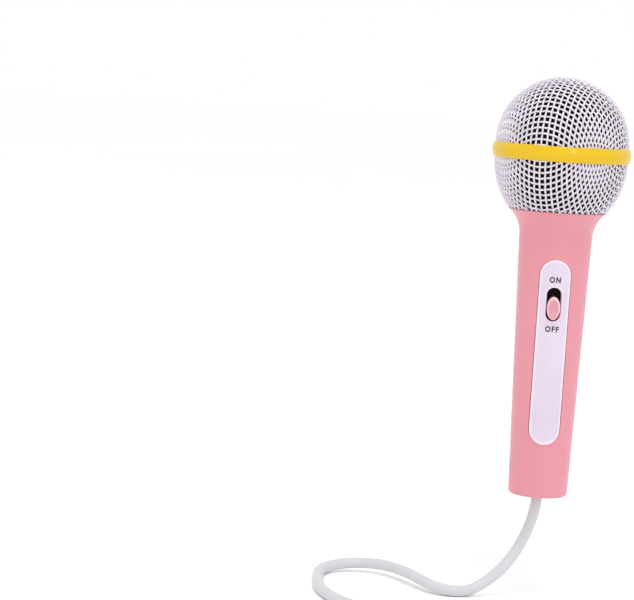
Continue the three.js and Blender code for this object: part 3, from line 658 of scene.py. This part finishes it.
def add_wire_mesh(name, runs, finish, node):
    """Every wire as a closed tube of oval section, all in one mesh."""
    angles = np.linspace(0, 2 * pi, WIRE_SIDES, endpoint=False)
    wide = WIRE_HALF_W * np.cos(angles)[None, :, None]
    tall = WIRE_HALF_T * np.sin(angles)[None, :, None]
    points, faces, start = [], [], 0
    for centres, normals in runs:
        tangents = unit(np.gradient(centres, axis=0))
        sideways = unit(np.cross(tangents, normals))
        up = np.cross(sideways, tangents)
        section = wide * sideways[:, None] + tall * up[:, None]
        points.append((centres[:, None] + section).reshape(-1, 3))
        faces += loft_faces(len(centres), WIRE_SIDES, flip=True, start=start)
        start += len(points[-1])
    piece = add_mesh(name, np.concatenate(points), faces, 70)
    finish_piece(piece, finish, "mesh_wire", node)


def add_woven_head():
    """Both halves in satin nickel-plated wire, with a pale haze that evens out its reflections."""
    wire = metal("mesh_wire", linear(223, 216, 226), 0.4, spread=0.07)
    wire.set(Metallic=0.5)
    low_z, high_z = MESH_UPPER_LOW.z + WIRE_END_GAP, MESH_UPPER_HIGH.z + 1
    dome = wire_runs(WIRE_LAYER_R, WIRE_LAYER_R, True, DOME_Z, low_z, high_z)
    add_wire_mesh("mesh_upper", dome, wire, "grille_upper")
    low_z, high_z = NECK_TOP_Z + NECK_REST, MESH_LOWER_TOP_Z - WIRE_END_GAP
    bowl = wire_runs(WIRE_LAYER_R, BOWL_H - WIRE_INSET, False, BOWL_Z, low_z, high_z)
    add_wire_mesh("mesh_lower", bowl, wire, "grille_lower")


# ---------- foam lining ----------
FOAM_T = 2.0
FOAM_GAP = 0.25
FOAM_SIDES = 180
FOAM_REST = 1.6
FOAM_CELLS = ((1.3, 0.16), (3.1, 0.08))


def foam_profile(flat_r, tall_r, middle_z, sign, end_z):
    """An ellipsoid cap's closed profile from its rim to its pole and back inside."""
    def layer(inset):
        share = min(1, abs(end_z - middle_z) / (tall_r - inset))
        stop = asin(share) if sign < 0 else pi / 2
        return [
            (max(0.0, (flat_r - inset) * cos(a)), middle_z + sign * (tall_r - inset) * sin(a))
            for a in np.linspace(-0.08, stop, 60)
        ]
    return (layer(0) + layer(FOAM_T)[::-1])[::sign]


def add_foam(name, profile, finish, node):
    foam = add_mesh(name, *revolve(profile, FOAM_SIDES))
    for vertex in foam.data.vertices:
        place = vertex.co / MM
        cells = sum(noise.noise(place * fineness) * depth for fineness, depth in FOAM_CELLS)
        outwards = Vector((place.x, place.y, 0)).normalized()
        vertex.co -= outwards * (abs(cells) * MM)
    finish_piece(foam, finish, "foam", node)


def add_foams():
    finish = open_foam()
    outer = WIRE_LAYER_R - WIRE_INSET - FOAM_GAP
    dome = foam_profile(outer, outer, DOME_Z, 1, MESH_UPPER_LOW.z)
    add_foam("foam_lining_upper", dome, finish, "foam_upper")
    tall = BOWL_H - 2 * WIRE_INSET - FOAM_GAP
    bowl = foam_profile(outer, tall, BOWL_Z, -1, NECK_TOP_Z + FOAM_REST)
    add_foam("foam_lining_lower", bowl, finish, "foam_lower")


# ---------- ring ----------
RING_CROWN = 0.4
RING_TUCK = 0.9
RING_SIDES = 256


def add_ring():
    """The band round the head's equator: a soft crown with round edges."""
    low, high = RING_LOW.z, RING_HIGH.z
    middle = (low + high) / 2
    edge = RING_R - RING_BORE_R
    edge_r = RING_R - RING_CROWN - edge
    shoulder = high - edge - middle
    inner = RING_BORE_R - RING_TUCK
    profile = [
        (inner, low),
        *arc(edge_r, low + edge, edge, -pi / 2, -0.15, 10),
        *[(RING_R - RING_CROWN * t * t, middle + shoulder * t) for t in np.linspace(-1, 1, 13)],
        *arc(edge_r, high - edge, edge, 0.15, pi / 2, 10),
        (inner, high),
    ]
    ring = add_mesh("ring", *revolve(profile, RING_SIDES))
    finish = moulded("ring_plastic", linear(219, 179, 0), 0.17, 0.02, 0.004)
    finish.set(Specular_IOR_Level=0.4)
    finish_piece(ring, finish, "ring_plastic", "grille_ring")


# ---------- handle shells ----------
SEAM = 0.07
LIP = 0.35
MOUTH_R = 0.4
SHELL_SIDES = 192
RECESS_GAP = 0.05
BOSS_R = 3.4
BOSS_FOOT_Y = 0.3
BOSS_COVER = 1.2
WELL_FLARE = 0.5
FAR = 40
SKIN_TOLERANCE = 0.03


def handle_radius(z):
    return HANDLE_BOTTOM_R + (z - HANDLE_BOTTOM_Z) * TAPER


def shell_profile():
    """The closed profile of the hollow handle: outside going up, inside going down."""
    socket_z = NECK_TOP_Z - NECK_SOCKET_DEPTH
    inner_flare = FLARE_R + WALL
    inner_end = asin((socket_z - FLARE_CENTRE_Z) / inner_flare)
    floor_z = HANDLE_BOTTOM_Z + WALL
    top_r = FLARE_CENTRE_R - FLARE_R * cos(FLARE_END)
    mouth = HANDLE_BOTTOM_Z + MOUTH_R
    return [
        (CORD_HOLE_R, mouth),
        *arc(CORD_HOLE_R + MOUTH_R, mouth, MOUTH_R, pi, 1.5 * pi, 5)[1:],
        *arc(HANDLE_BOTTOM_R - HANDLE_EDGE_R, HANDLE_BOTTOM_Z + HANDLE_EDGE_R, HANDLE_EDGE_R,
             -pi / 2, -LEAN, 12),
        *arc(FLARE_CENTRE_R, FLARE_CENTRE_Z, FLARE_R, pi - LEAN, pi - FLARE_END + 0.02, 26),
        *arc(top_r - LIP, NECK_TOP_Z - LIP, LIP, -0.1, pi / 2, 6),
        (NECK_SOCKET_R, NECK_TOP_Z),
        (NECK_SOCKET_R, socket_z),
        *arc(FLARE_CENTRE_R, FLARE_CENTRE_Z, inner_flare, pi - inner_end, pi - LEAN, 12),
        (handle_radius(floor_z) - WALL, floor_z),
        (CORD_HOLE_R, floor_z),
    ]


def skin_normal(point):
    """The exact outward normal of the handle's outside near a point, or None away from it."""
    r = hypot(point.x, point.y)
    z = point.z
    edge_r = HANDLE_BOTTOM_R - HANDLE_EDGE_R
    edge_z = HANDLE_BOTTOM_Z + HANDLE_EDGE_R
    if r < 1 or z > NECK_TOP_Z - 0.5:
        return None
    if z > FLARE_CENTRE_Z + FLARE_R * sin(LEAN) - 0.02:
        across, up = FLARE_CENTRE_R - r, FLARE_CENTRE_Z - z
        gap = abs(hypot(across, up) - FLARE_R)
    elif z < edge_z - HANDLE_EDGE_R * sin(LEAN):
        across, up = r - edge_r, z - edge_z
        gap = abs(hypot(across, up) - HANDLE_EDGE_R)
        if r < edge_r + 0.02:
            return None
    else:
        across, up = cos(LEAN), -sin(LEAN)
        gap = abs(r - handle_radius(z)) * cos(LEAN)
    if gap > SKIN_TOLERANCE:
        return None
    return Vector((across * point.x / r, across * point.y / r, up)).normalized()


def smooth_skin(piece):
    """Shades the turned outside by its exact normals, so that the cuts leave no marks on it."""
    mesh = piece.data
    crease(mesh, 32)
    normals = [Vector((0, 0, 0))] * len(mesh.loops)
    for face in mesh.polygons:
        for index in face.loop_indices:
            exact = skin_normal(mesh.vertices[mesh.loops[index].vertex_index].co / MM)
            if exact is not None and exact.dot(face.normal) > 0.9:
                normals[index] = exact
    mesh.normals_split_custom_set(normals)


def switch_place():
    """Carries the switch's own frame, -Y out and +Z towards ON, to the handle's leaning front."""
    return Matrix.Translation((0, -handle_radius(SWITCH_Z), SWITCH_Z)) @ Matrix.Rotation(LEAN, 4, "X")


def screw_axis(index):
    """A shell screw's height, its box, and the matrix that lays a profile built along Z on it."""
    low, high = corners(f"shell_screw_{index}")
    z = (low.z + high.z) / 2
    return z, low, high, Matrix.Translation((0, 0, z)) @ Matrix.Rotation(-pi / 2, 4, "X")


def add_shells(finish):
    whole = revolve(shell_profile(), SHELL_SIDES)
    front = add_mesh("front_shell", *whole)
    low, high = PLATE_BOTTOM_Z - RECESS_GAP, PLATE_TOP_Z + RECESS_GAP
    inside = [(handle_radius(z) - PLATE_SINK - GAP, z) for z in (low - 4, high + 4)]
    outside = [(r + 6, z) for r, z in inside[::-1]]
    recess = add_tool(*revolve([*inside, *outside], SHELL_SIDES))
    outline = stadium(PLATE_W + 2 * RECESS_GAP, low, high, 31)
    carve(recess, [prism_tool(outline, -30, -5)], "INTERSECT")
    slot = prism_tool(stadium(SLOT_W, -SLOT_L / 2, SLOT_L / 2), -6, 6, switch_place())
    half = rectangle(FAR, -3 * FAR, 1.5 * FAR)
    carve(front, [prism_tool(half, -FAR, -SEAM)], "INTERSECT")
    carve(front, [recess, slot])
    smooth_skin(front)
    finish_piece(front, finish, "pink_plastic", "handle_front_shell")

    rear = add_mesh("rear_shell", *whole)
    carve(rear, [prism_tool(half, SEAM, FAR)], "INTERSECT")
    bosses, wells = [], []
    for index in (1, 2, 3):
        z, _, _, lay = screw_axis(index)
        skin = handle_radius(z)
        bore = SCREW_HEAD_R + GAP
        mouth = bore + WELL_FLARE
        boss = [(0, BOSS_FOOT_Y), (BOSS_R, BOSS_FOOT_Y), (BOSS_R, skin - BOSS_COVER), (0, skin - BOSS_COVER)]
        well = [(0, SCREW_SEAT_Y), (bore, SCREW_SEAT_Y), (bore, skin - 0.35), (mouth, skin + 0.15),
                (mouth, 20), (0, 20)]
        bosses.append(add_tool(*revolve(boss, 48, closed=False, place=lay)))
        wells.append(add_tool(*revolve(well, 48, closed=False, place=lay)))
    carve(rear, bosses, "UNION")
    carve(rear, wells)
    smooth_skin(rear)
    finish_piece(rear, finish, "pink_plastic", "handle_rear_shell")


# ---------- face plate ----------
PLATE_BEVEL = 0.45
RIM_W = 0.95
RIM_SLOPE = 0.35
FIELD_DROP = 0.14
LIP_H = 0.12
LIP_OUT = 0.1
LIP_SLOPE = 0.55
LIP_EDGE_DROP = 0.35
PLATE_LOOPS = (0, 0.04, 0.12, 0.25, 0.45, 0.95, 1.12, 1.3)
SLOT_LOOPS = (0, 0.05, 0.1, 0.3, 0.5, 0.7)
GRID_TO_EDGE = 1.5
GRID_TO_SLOT = 0.95
PLATE_OUTLINE = (PLATE_W, PLATE_BOTTOM_Z, PLATE_TOP_Z)
SLOT_OUTLINE = (SLOT_W, SWITCH_Z - SLOT_L / 2, SWITCH_Z + SLOT_L / 2)


def rounding_distance(x, z, width, low, high):
    """How far a point lies inside a stadium outline, negative outside."""
    r = width / 2
    return r - hypot(x, z - min(max(z, low + r), high - r))


def plate_distances(x, z):
    """How far a point lies inside the plate's outline and outside the slot's."""
    return rounding_distance(x, z, *PLATE_OUTLINE), -rounding_distance(x, z, *SLOT_OUTLINE)


def plate_height(x, z):
    """The plate's surface above the handle's skin: rounded edge, flat rim, dropped field, slot lip."""
    edge, slot = plate_distances(x, z)
    height = PLATE_RISE
    if edge < PLATE_BEVEL:
        into = PLATE_BEVEL - max(edge, 0)
        height -= PLATE_BEVEL - sqrt(max(0.0, PLATE_BEVEL ** 2 - into ** 2))
    height -= FIELD_DROP * eased((edge - RIM_W) / RIM_SLOPE)
    if slot > LIP_OUT:
        return height + LIP_H * sin(clamped(1 - (slot - LIP_OUT) / LIP_SLOPE) * pi / 2)
    return height + LIP_H - LIP_EDGE_DROP * (LIP_OUT - max(slot, 0)) / LIP_OUT


def wrap(x, z, height):
    """A point of the plate's flat layout, x across and z up, laid on the handle's front."""
    radius = handle_radius(z)
    angle = x / radius
    return ((radius + height) * sin(angle), -(radius + height) * cos(angle), z)


def offset_stadium(width, low, high, offset, spacing):
    """Evenly spaced points of a stadium grown by an offset."""
    width, low, high = width + 2 * offset, low - offset, high + offset
    r = width / 2
    half_turn = np.linspace(0, pi, max(8, round(pi * r / spacing)), endpoint=False)
    side_count = max(2, round((high - low - width) / spacing))
    sides = np.linspace(low + r, high - r, side_count, endpoint=False)
    return [
        *[(r, z) for z in sides],
        *[(r * cos(a), high - r + r * sin(a)) for a in half_turn],
        *[(-r, low + high - z) for z in sides],
        *[(-r * cos(a), low + r - r * sin(a)) for a in half_turn],
    ]


def add_plate():
    """The plate: loops of points along its rim and slot with a grid between them, and its back."""
    loops = [offset_stadium(*PLATE_OUTLINE, -inset, 0.6) for inset in PLATE_LOOPS]
    loops += [offset_stadium(*SLOT_OUTLINE, offset, 0.5) for offset in SLOT_LOOPS]
    flat, edges = [], []
    for loop in loops:
        start = len(flat)
        flat += [Vector(p) for p in loop]
        edges += [(start + k, start + (k + 1) % len(loop)) for k in range(len(loop))]
    for z in np.arange(PLATE_BOTTOM_Z + 1.2, PLATE_TOP_Z - 1.2, 0.9):
        for x in np.arange(-4.8, 4.9, 0.8):
            edge, slot = plate_distances(x, z)
            if edge > GRID_TO_EDGE and slot > GRID_TO_SLOT:
                flat.append(Vector((x, z)))
    vertices, _, triangles, *_ = geometry.delaunay_2d_cdt(flat, edges, [], 0, 1e-5)
    kept = []
    for triangle in triangles:
        middle = sum((vertices[i] for i in triangle), Vector((0, 0))) / 3
        if min(plate_distances(*middle)) > 0:
            kept.append(tuple(triangle))
    top = [wrap(v.x, v.y, plate_height(v.x, v.y)) for v in vertices]
    bottom = [wrap(v.x, v.y, -PLATE_SINK) for v in vertices]
    count = len(vertices)
    rims = dict.fromkeys(edge for a, b, c in kept for edge in ((a, b), (b, c), (c, a)))
    walls = [(b, a, a + count, b + count) for a, b in rims if (b, a) not in rims]
    faces = kept + [(c + count, b + count, a + count) for a, b, c in kept] + walls
    plate = add_mesh("face_plate_cover", top + bottom, faces, 50)
    # Painted highlight: the plate's rounded edge and the slot's lip get a lighter colour, which stands in for
    # the light that these bevels catch.
    painted_highlight_layer = plate.data.attributes.new("rim", "FLOAT", "POINT").data
    for index, v in enumerate(vertices):
        edge, slot = plate_distances(v.x, v.y)
        value = max(clamped(1.15 - edge), clamped(0.75 - slot) * 0.8)
        painted_highlight_layer[index].value = painted_highlight_layer[index + count].value = value
    finish = plastic("plate_plastic", 0.32, 0.006)
    finish.set(Coat_Weight=0.1, Coat_Roughness=0.12)
    body = finish.colours(finish.noise(60, 4), (0.3, linear(209, 196, 213)), (0.7, linear(216, 203, 220)))
    # The pale edge colour is the painted highlight.
    finish.base(finish.with_painted_highlight(body, linear(242, 225, 234)))
    finish_piece(plate, finish, "plate_plastic", "face_plate")


# ---------- switch knob and marks ----------
KNOB_BEVEL = 0.85
KNOB_TOP_Y = -1.9
KNOB_DISH = 0.6
KNOB_BRIM = 0.12
KNOB_SIDES = 72
MARK_OFF_Z = -25.25
MARK_ON_Z = -5.9
LETTER_H = 2.15
LETTER_SQUEEZE = 0.84
INK_RISE = 0.045
INK_DEPTH = 0.2


def add_knob():
    """An oval knob with rounded edges and a dished top, made of rings at (inset, y)."""
    half_w = SLOT_W / 2 - GAP
    half_l = KNOB_L / 2
    shoulder_y = KNOB_TOP_Y + KNOB_BEVEL
    brim = KNOB_BEVEL + KNOB_BRIM
    layers = [(0, 1.6), (0, 0.6), (0, shoulder_y)]
    for a in np.linspace(0, pi / 2, 8)[1:]:
        layers.append((KNOB_BEVEL * (1 - cos(a)), shoulder_y - KNOB_BEVEL * sin(a)))
    layers.append((brim, KNOB_TOP_Y))
    for t in np.linspace(0.12, 1, 9):
        layers.append((brim + (half_w - brim) * t, KNOB_TOP_Y + KNOB_DISH * (1 - (1 - t) ** 2)))
    # Painted highlight: every point on the top edge gets a weight towards a lighter colour, most on the upper
    # side, where light from above falls.
    points, painted_highlight_weights = [], []
    for inset, y in layers[:-1]:
        length = half_l - inset - (half_l - half_w) * min(1, inset / half_w) ** 2
        near_top = clamped((shoulder_y + 0.3 - y) / 0.6)
        near_edge = max(0.0, 1 - max(inset - 0.3, 0) / 0.6)
        for k in range(KNOB_SIDES):
            a = 2 * pi * k / KNOB_SIDES
            points.append(((half_w - inset) * cos(a), y, KNOB_OFF_Z + length * sin(a)))
            painted_highlight_weights.append((0.45 + 0.55 * max(0.0, sin(a + 0.5))) * near_top * near_edge)
    centre = len(points)
    points.append((0, layers[-1][1], KNOB_OFF_Z))
    top = range(centre - KNOB_SIDES, centre)
    faces = loft_faces(len(layers) - 1, KNOB_SIDES)[:-1]
    faces += [(k, after, centre) for k, after in zip(top, [*top[1:], top[0]])]
    knob = add_mesh("slide_knob", moved(points, switch_place()), faces, 60)
    painted_highlight_layer = knob.data.attributes.new("rim", "FLOAT", "POINT").data
    for index, value in enumerate(painted_highlight_weights):
        painted_highlight_layer[index].value = value
    finish = plastic("knob_plastic", 0.34, 0.02)
    mottle = finish.noise(1300, 3)
    body = finish.colours(mottle, (0.35, linear(201, 134, 149)), (0.65, linear(219, 160, 174)))
    # The pale edge colour is the painted highlight.
    finish.base(finish.with_painted_highlight(body, linear(250, 205, 208)))
    finish.bump(mottle, 0.06, 0.5)
    finish_piece(knob, finish, "knob_plastic", "switch_knob", body="switch")


def add_mark(name, word, middle_z, finish):
    """A printed word on the plate, as a thin raised ink layer."""
    curve = bpy.data.curves.new(name, "FONT")
    curve.body = word
    curve.align_x = "CENTER"
    curve.align_y = "CENTER"
    curve.size = LETTER_H / 0.72
    curve.offset = LETTER_H * 0.055
    curve.extrude = 0.5
    curve.space_character = 1.3
    source = add_object(name, curve)
    text = evaluated_mesh(source)
    bpy.data.objects.remove(source)
    points = []
    for vertex in text.vertices:
        x, z, depth = vertex.co
        x *= LETTER_SQUEEZE
        z += middle_z
        points.append(wrap(x, z, plate_height(x, z) + (INK_RISE if depth > 0 else -INK_DEPTH)))
    mark = add_mesh(name, points, [tuple(face.vertices) for face in text.polygons], 30)
    finish_piece(mark, finish, "plate_plastic")


# ---------- screws and grommet ----------
SCREW_THREAD_R = 1.0
SCREW_ROUNDING = 0.45
CROSS_L = 1.3
CROSS_W = 0.26
CROSS_DEPTH = 0.8
BUSH_GAP = 0.12
FLANGE_T = 1.7
FLANGE_EDGE = 0.2


def add_shell_screws(finish):
    """Cheese-head screws with a cross recess, at the bottom of the back's wells."""
    seat = SCREW_SEAT_Y + GAP
    for index in (1, 2, 3):
        z, low, high, lay = screw_axis(index)
        head = [
            (0, low.y), (0.55, low.y), (SCREW_THREAD_R, low.y + 1.2), (SCREW_THREAD_R, seat),
            (SCREW_HEAD_R - 0.12, seat), (SCREW_HEAD_R, seat + 0.12),
            *arc(SCREW_HEAD_R - SCREW_ROUNDING, high.y - SCREW_ROUNDING, SCREW_ROUNDING, 0, pi / 2, 6),
            (0, high.y + 0.02),
        ]
        screw = add_mesh(f"shell_screw_{index}_fine", *revolve(head, 48, closed=False, place=lay))
        turn = Matrix.Translation((0, 0, z)) @ Matrix.Rotation(0.4 + 0.9 * index, 4, "Y")
        carve(screw, [
            prism_tool(rectangle(wide, -narrow, narrow), high.y - CROSS_DEPTH, high.y + 1, turn)
            for wide, narrow in ((CROSS_L, CROSS_W), (CROSS_W, CROSS_L))
        ])
        crease(screw.data, 35)
        finish_piece(screw, finish, "screw_steel", f"shell_screw_{index}")


def add_grommet(finish):
    """The soft bush that the cord leaves through, with a rounded mouth."""
    low, high = corners("cord_grommet")
    bore = CORD_R + BUSH_GAP
    neck = CORD_HOLE_R - BUSH_GAP
    flange = high.x
    flange_low = HANDLE_BOTTOM_Z + WALL + 0.15
    flange_high = flange_low + FLANGE_T
    profile = [
        (bore, high.z), (bore, low.z + MOUTH_R),
        *arc(bore + MOUTH_R, low.z + MOUTH_R, MOUTH_R, pi, 1.5 * pi, 6)[1:],
        *arc(neck - 0.25, low.z + 0.25, 0.25, -pi / 2, 0, 5),
        (neck, flange_low), (flange - FLANGE_EDGE, flange_low), (flange, flange_low + FLANGE_EDGE),
        (flange, flange_high - FLANGE_EDGE), (flange - FLANGE_EDGE, flange_high),
        (CORD_HOLE_R, flange_high), (CORD_HOLE_R, high.z - 0.3), (CORD_HOLE_R - 0.3, high.z),
    ]
    grommet = add_mesh("cord_bush", *revolve(profile, 64))
    finish_piece(grommet, finish, "black_rubber", "cord_grommet")


# ---------- tie and plug ----------
TIE_INSET = 0.04
TIE_T = COIL_LIFT - GAP - TIE_INSET
TIE_CORNER = 1.6
TONGUE_T = 0.55
TONGUE_STEPS = 40


def add_tie(finish):
    """A woven strap round the coil's bundle, with its end pressed back onto itself."""
    low, high = corners("cord_tie")
    inset = Vector((TIE_INSET, 0, TIE_INSET))
    low, high = low + inset, high - inset
    middle_y = (low.y + high.y) / 2
    half = (high.y - low.y) / 2
    outline = rounded([(low.x, low.z), (high.x, low.z), (high.x, high.z), (low.x, high.z)], TIE_CORNER, 8)
    section = rounded([(0, -half), (0, half), (-TIE_T, half), (-TIE_T, -half)], 0.18, 3)
    points = []
    for (x, z), before, after in zip(outline, [outline[-1], *outline], [*outline[1:], outline[0]]):
        along = (Vector(after) - Vector(before)).normalized()
        points += [(x + along.y * out, middle_y + across, z - along.x * out) for out, across in section]
    loop = add_mesh("tie_strap", points, loft_faces(len(outline), len(section), closed=True))
    finish_piece(loop, finish, "black_plastic", "cord_tie")

    length = high.x - low.x - 2 * TIE_CORNER
    points = []
    for step in range(TONGUE_STEPS + 1):
        t = step / TONGUE_STEPS
        x = high.x - TIE_CORNER - length * t
        wide = half * 0.97 * sqrt(max(0.02, 1 - max(0, (t - 0.8) / 0.2) ** 2))
        foot_z = high.z + 0.03 + 0.35 * max(0, t - 0.72) ** 1.5
        section = rounded([(0, -wide), (TONGUE_T, -wide), (TONGUE_T, wide), (0, wide)], 0.16, 3)
        points += [(x, middle_y + y, foot_z + h) for h, y in section]
    tongue = add_mesh("tie_tongue", points, loft_faces(TONGUE_STEPS + 1, len(section)))
    finish_piece(tongue, finish, "black_plastic")
    return [loop, tongue]


PLUG_BODY_Z = 10.3
PLUG_SLEEVE_Z = PLUG_BODY_Z + 18.3
PLUG_TIP_Z = PLUG_SLEEVE_Z + 9.6
PLUG_PIN_R = 1.75
PLUG_GRIP_R = 4.2
PLUG_CREVICE = 0.05


def add_plug(boot, plating, insulation):
    """A moulded 3.5 mm plug lying on the surface, built along Z and laid along -X."""
    lay = Matrix.Translation((PLUG_START_X, PLUG_Y, PLUG_Z)) @ Matrix.Rotation(-pi / 2, 4, "Y")
    relief_end = PLUG_BODY_Z - 0.15
    relief = [(0, -0.4), (2.55, -0.4, 0.3), (2.8, 0.4, 0.3)]
    for k in range(4):
        z = 1.6 + 2.0 * k
        swell = 2.85 + 0.07 * z
        relief += [(swell, z, 0.15), (swell - 0.5, z + 0.15, 0.12),
                   (swell - 0.45, z + 0.8, 0.12), (swell + 0.05, z + 0.95, 0.15)]
    relief += [(3.6, 9.2, 0.3), (3.6, relief_end, 0.2), (0, relief_end)]
    body = [(0, PLUG_BODY_Z), (3.55, PLUG_BODY_Z, 0.2), (4.15, PLUG_BODY_Z + 1.2, 0.8)]
    for k in range(6):
        z = PLUG_BODY_Z + 4.4 + 1.5 * k
        body += [(PLUG_GRIP_R, z, 0.12), (3.9, z + 0.2, 0.12), (3.9, z + 0.65, 0.12),
                 (PLUG_GRIP_R, z + 0.85, 0.12)]
    z = PLUG_SLEEVE_Z
    body += [(PLUG_GRIP_R, z - 2.4, 0.5), (3.3, z - 0.4, 0.5), (3.2, z - PLUG_CREVICE), (0, z - PLUG_CREVICE)]
    sleeve = [
        (0, z), (2.7, z), (2.8, z + 0.1), (2.8, z + 0.7), (2.7, z + 0.8), (PLUG_PIN_R, z + 0.8),
        (PLUG_PIN_R, PLUG_TIP_Z - 1.35), (1.7, PLUG_TIP_Z - 1.3), (0, PLUG_TIP_Z - 1.3),
    ]
    z = PLUG_TIP_Z
    ring = [(0, z - 1.28), (1.7, z - 1.28), (1.7, z - 0.02), (0, z - 0.02)]
    tip = [
        (0, z), (1.66, z), (PLUG_PIN_R, z + 0.12), (PLUG_PIN_R, z + 0.6), (1.3, z + 1.55, 0.4),
        (1.7, z + 2.5, 0.5), (1.55, z + 3.0, 0.5), (0.55, z + 4.4, 0.4), (0, z + 4.5),
    ]
    made = []
    for node, profile, finish, slot in (
        ("plug_strain_relief", relief, boot, "plug_plastic"),
        ("plug_body", body, boot, "plug_plastic"),
        ("plug_sleeve", sleeve, plating, "nickel"),
        ("plug_insulator", ring, insulation, "black_plastic"),
        ("plug_tip", tip, plating, "nickel"),
    ):
        profile = [profile[0], *softened(profile), profile[-1]]
        piece = add_mesh(node + "_fine", *revolve(profile, 64, closed=False, place=lay))
        made.append(finish_piece(piece, finish, slot, node))
    return made


# ---------- inner parts that keep their CAD shapes ----------
def wound_copper():
    """Enamelled magnet wire: fine level turns."""
    paint = metal("copper_winding", linear(184, 104, 62), 0.3, (1, 1, 40))
    turns = paint.pattern("Wave", "Fac", Scale=2200)
    turns.node.bands_direction = "Z"
    paint.bump(turns, 0.08, 0.8)
    return paint


def streaked(name, roughness, pattern, dark, light, roughness_range, relief):
    """A surface whose colour, gloss and relief all follow one noise pattern."""
    paint = Paint(name, roughness)
    streaks = paint.noise(*pattern)
    paint.base(paint.colours(streaks, (0.3, linear(*dark)), (0.7, linear(*light))))
    paint.roughen(streaks, *roughness_range)
    paint.bump(streaks, 0.02, relief)
    return paint


def dress_inner_nodes(black, bush, plating):
    """Gives every CAD node that stays its own material."""
    steel = metal("plain_steel", linear(176, 178, 184), 0.34, (1, 1, 12))
    can = metal("blackened_steel", linear(30, 26, 30), 0.5, (12, 1, 1), spread=0.3)
    magnet = metal("ferrite", linear(66, 68, 72), 0.5, spread=0.35, scratch_mm=0.03)
    board = streaked("board", 0.55, (500, 6, (1, 1, 0.2)), (140, 98, 48), (186, 140, 78), (0.45, 0.65), 0.5)
    film = streaked("film", 0.2, (700, 4), (205, 196, 168), (228, 220, 196), (0.12, 0.3), 0.4)
    for finish, nodes in (
        (black, "capsule_carrier capsule_housing capsule_cover switch_slider cord_clamp"),
        (steel, "grille_neck_ring capsule_yoke capsule_pole_plate"),
        (steel, "board_screw_1 board_screw_2 clamp_screw_1 clamp_screw_2"),
        (plating, "switch_terminal_1 switch_terminal_2 switch_terminal_3"),
        (bush, "capsule_shock_mount"),
        (magnet, "capsule_magnet"),
        (wound_copper(), "capsule_voice_coil"),
        (film, "capsule_diaphragm"),
        (can, "switch_can"),
        (board, "switch_base switch_board"),
        (moulded("red_wire", linear(176, 32, 32), 0.4), "capsule_wire_red cord_wire_red"),
        (moulded("black_wire", linear(30, 30, 33), 0.4), "capsule_wire_black cord_wire_black"),
    ):
        for node in nodes.split():
            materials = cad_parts[node].data.materials
            materials.clear()
            materials.append(finish.material)


# ---------- stage ----------
FLOOR_HALF = 8000


def add_light(name, place, size, power):
    """A white rectangular light in metres that faces the origin."""
    data = bpy.data.lights.new(name, "AREA")
    data.shape = "RECTANGLE"
    data.size, data.size_y = size
    data.energy = power
    light = add_object(name, data)
    light.location = place
    light.rotation_euler = (-Vector(place)).to_track_quat("-Z", "Y").to_euler()


def add_stage():
    square = rectangle(FLOOR_HALF, -FLOOR_HALF, FLOOR_HALF)
    floor = add_mesh("floor", [(x, y, FLOOR_Z) for x, y in square], [(0, 1, 2, 3)])
    paper = Paint("floor_paper", 0.9)
    paper.base(paper.colours(paper.noise(3, 3), (0.3, (0.985, 0.985, 0.985, 1)), (0.7, (1, 1, 1, 1))))
    paper.set(Specular_IOR_Level=0.1)
    floor.data.materials.append(paper.material)
    world = bpy.data.worlds.new("studio")
    bpy.context.scene.world = world
    world.use_nodes = True
    set_inputs(world.node_tree.nodes["Background"], {"Color": (1, 1, 1, 1), "Strength": 1.0})
    add_light("top", (0.05, -0.55, 1.35), (0.3, 0.3), 6)
    add_light("key", (0.35, -1.3, 0.6), (0.2, 0.9), 1.7)
    bpy.context.scene.view_settings.view_transform = "Standard"


def main():
    add_camera()
    add_stage()
    black = moulded("black_plastic", linear(30, 30, 33), 0.45, 0.2, 0.02)
    bush = rubber("black_rubber", linear(34, 34, 37))
    plating = metal("nickel", linear(206, 202, 194), 0.18, (30, 1, 1), spread=0.06, scratch_mm=0.004)
    tie = add_tie(rubber("tie_webbing", linear(26, 26, 29), 0.85))
    plug = add_plug(moulded("plug_plastic", linear(212, 211, 217), 0.45, 0.03, 0.01), plating, black)
    cord, path, length = add_cord(moulded("cord_sheath", linear(200, 200, 204), 0.42, 0.02, 0.006))
    add_woven_head()
    add_foams()
    add_ring()
    add_shells(moulded("pink_plastic", linear(217, 139, 151), 0.34, 0.025, 0.004))
    add_shell_screws(metal("screw_steel", linear(182, 184, 190), 0.28, spread=0.15))
    add_grommet(bush)
    add_plate()
    add_knob()
    ink = rubber("ink", linear(48, 38, 52), 0.5)
    add_mark("mark_off", "OFF", MARK_OFF_Z, ink)
    add_mark("mark_on", "ON", MARK_ON_Z, ink)
    dress_inner_nodes(black, bush, plating)


main()
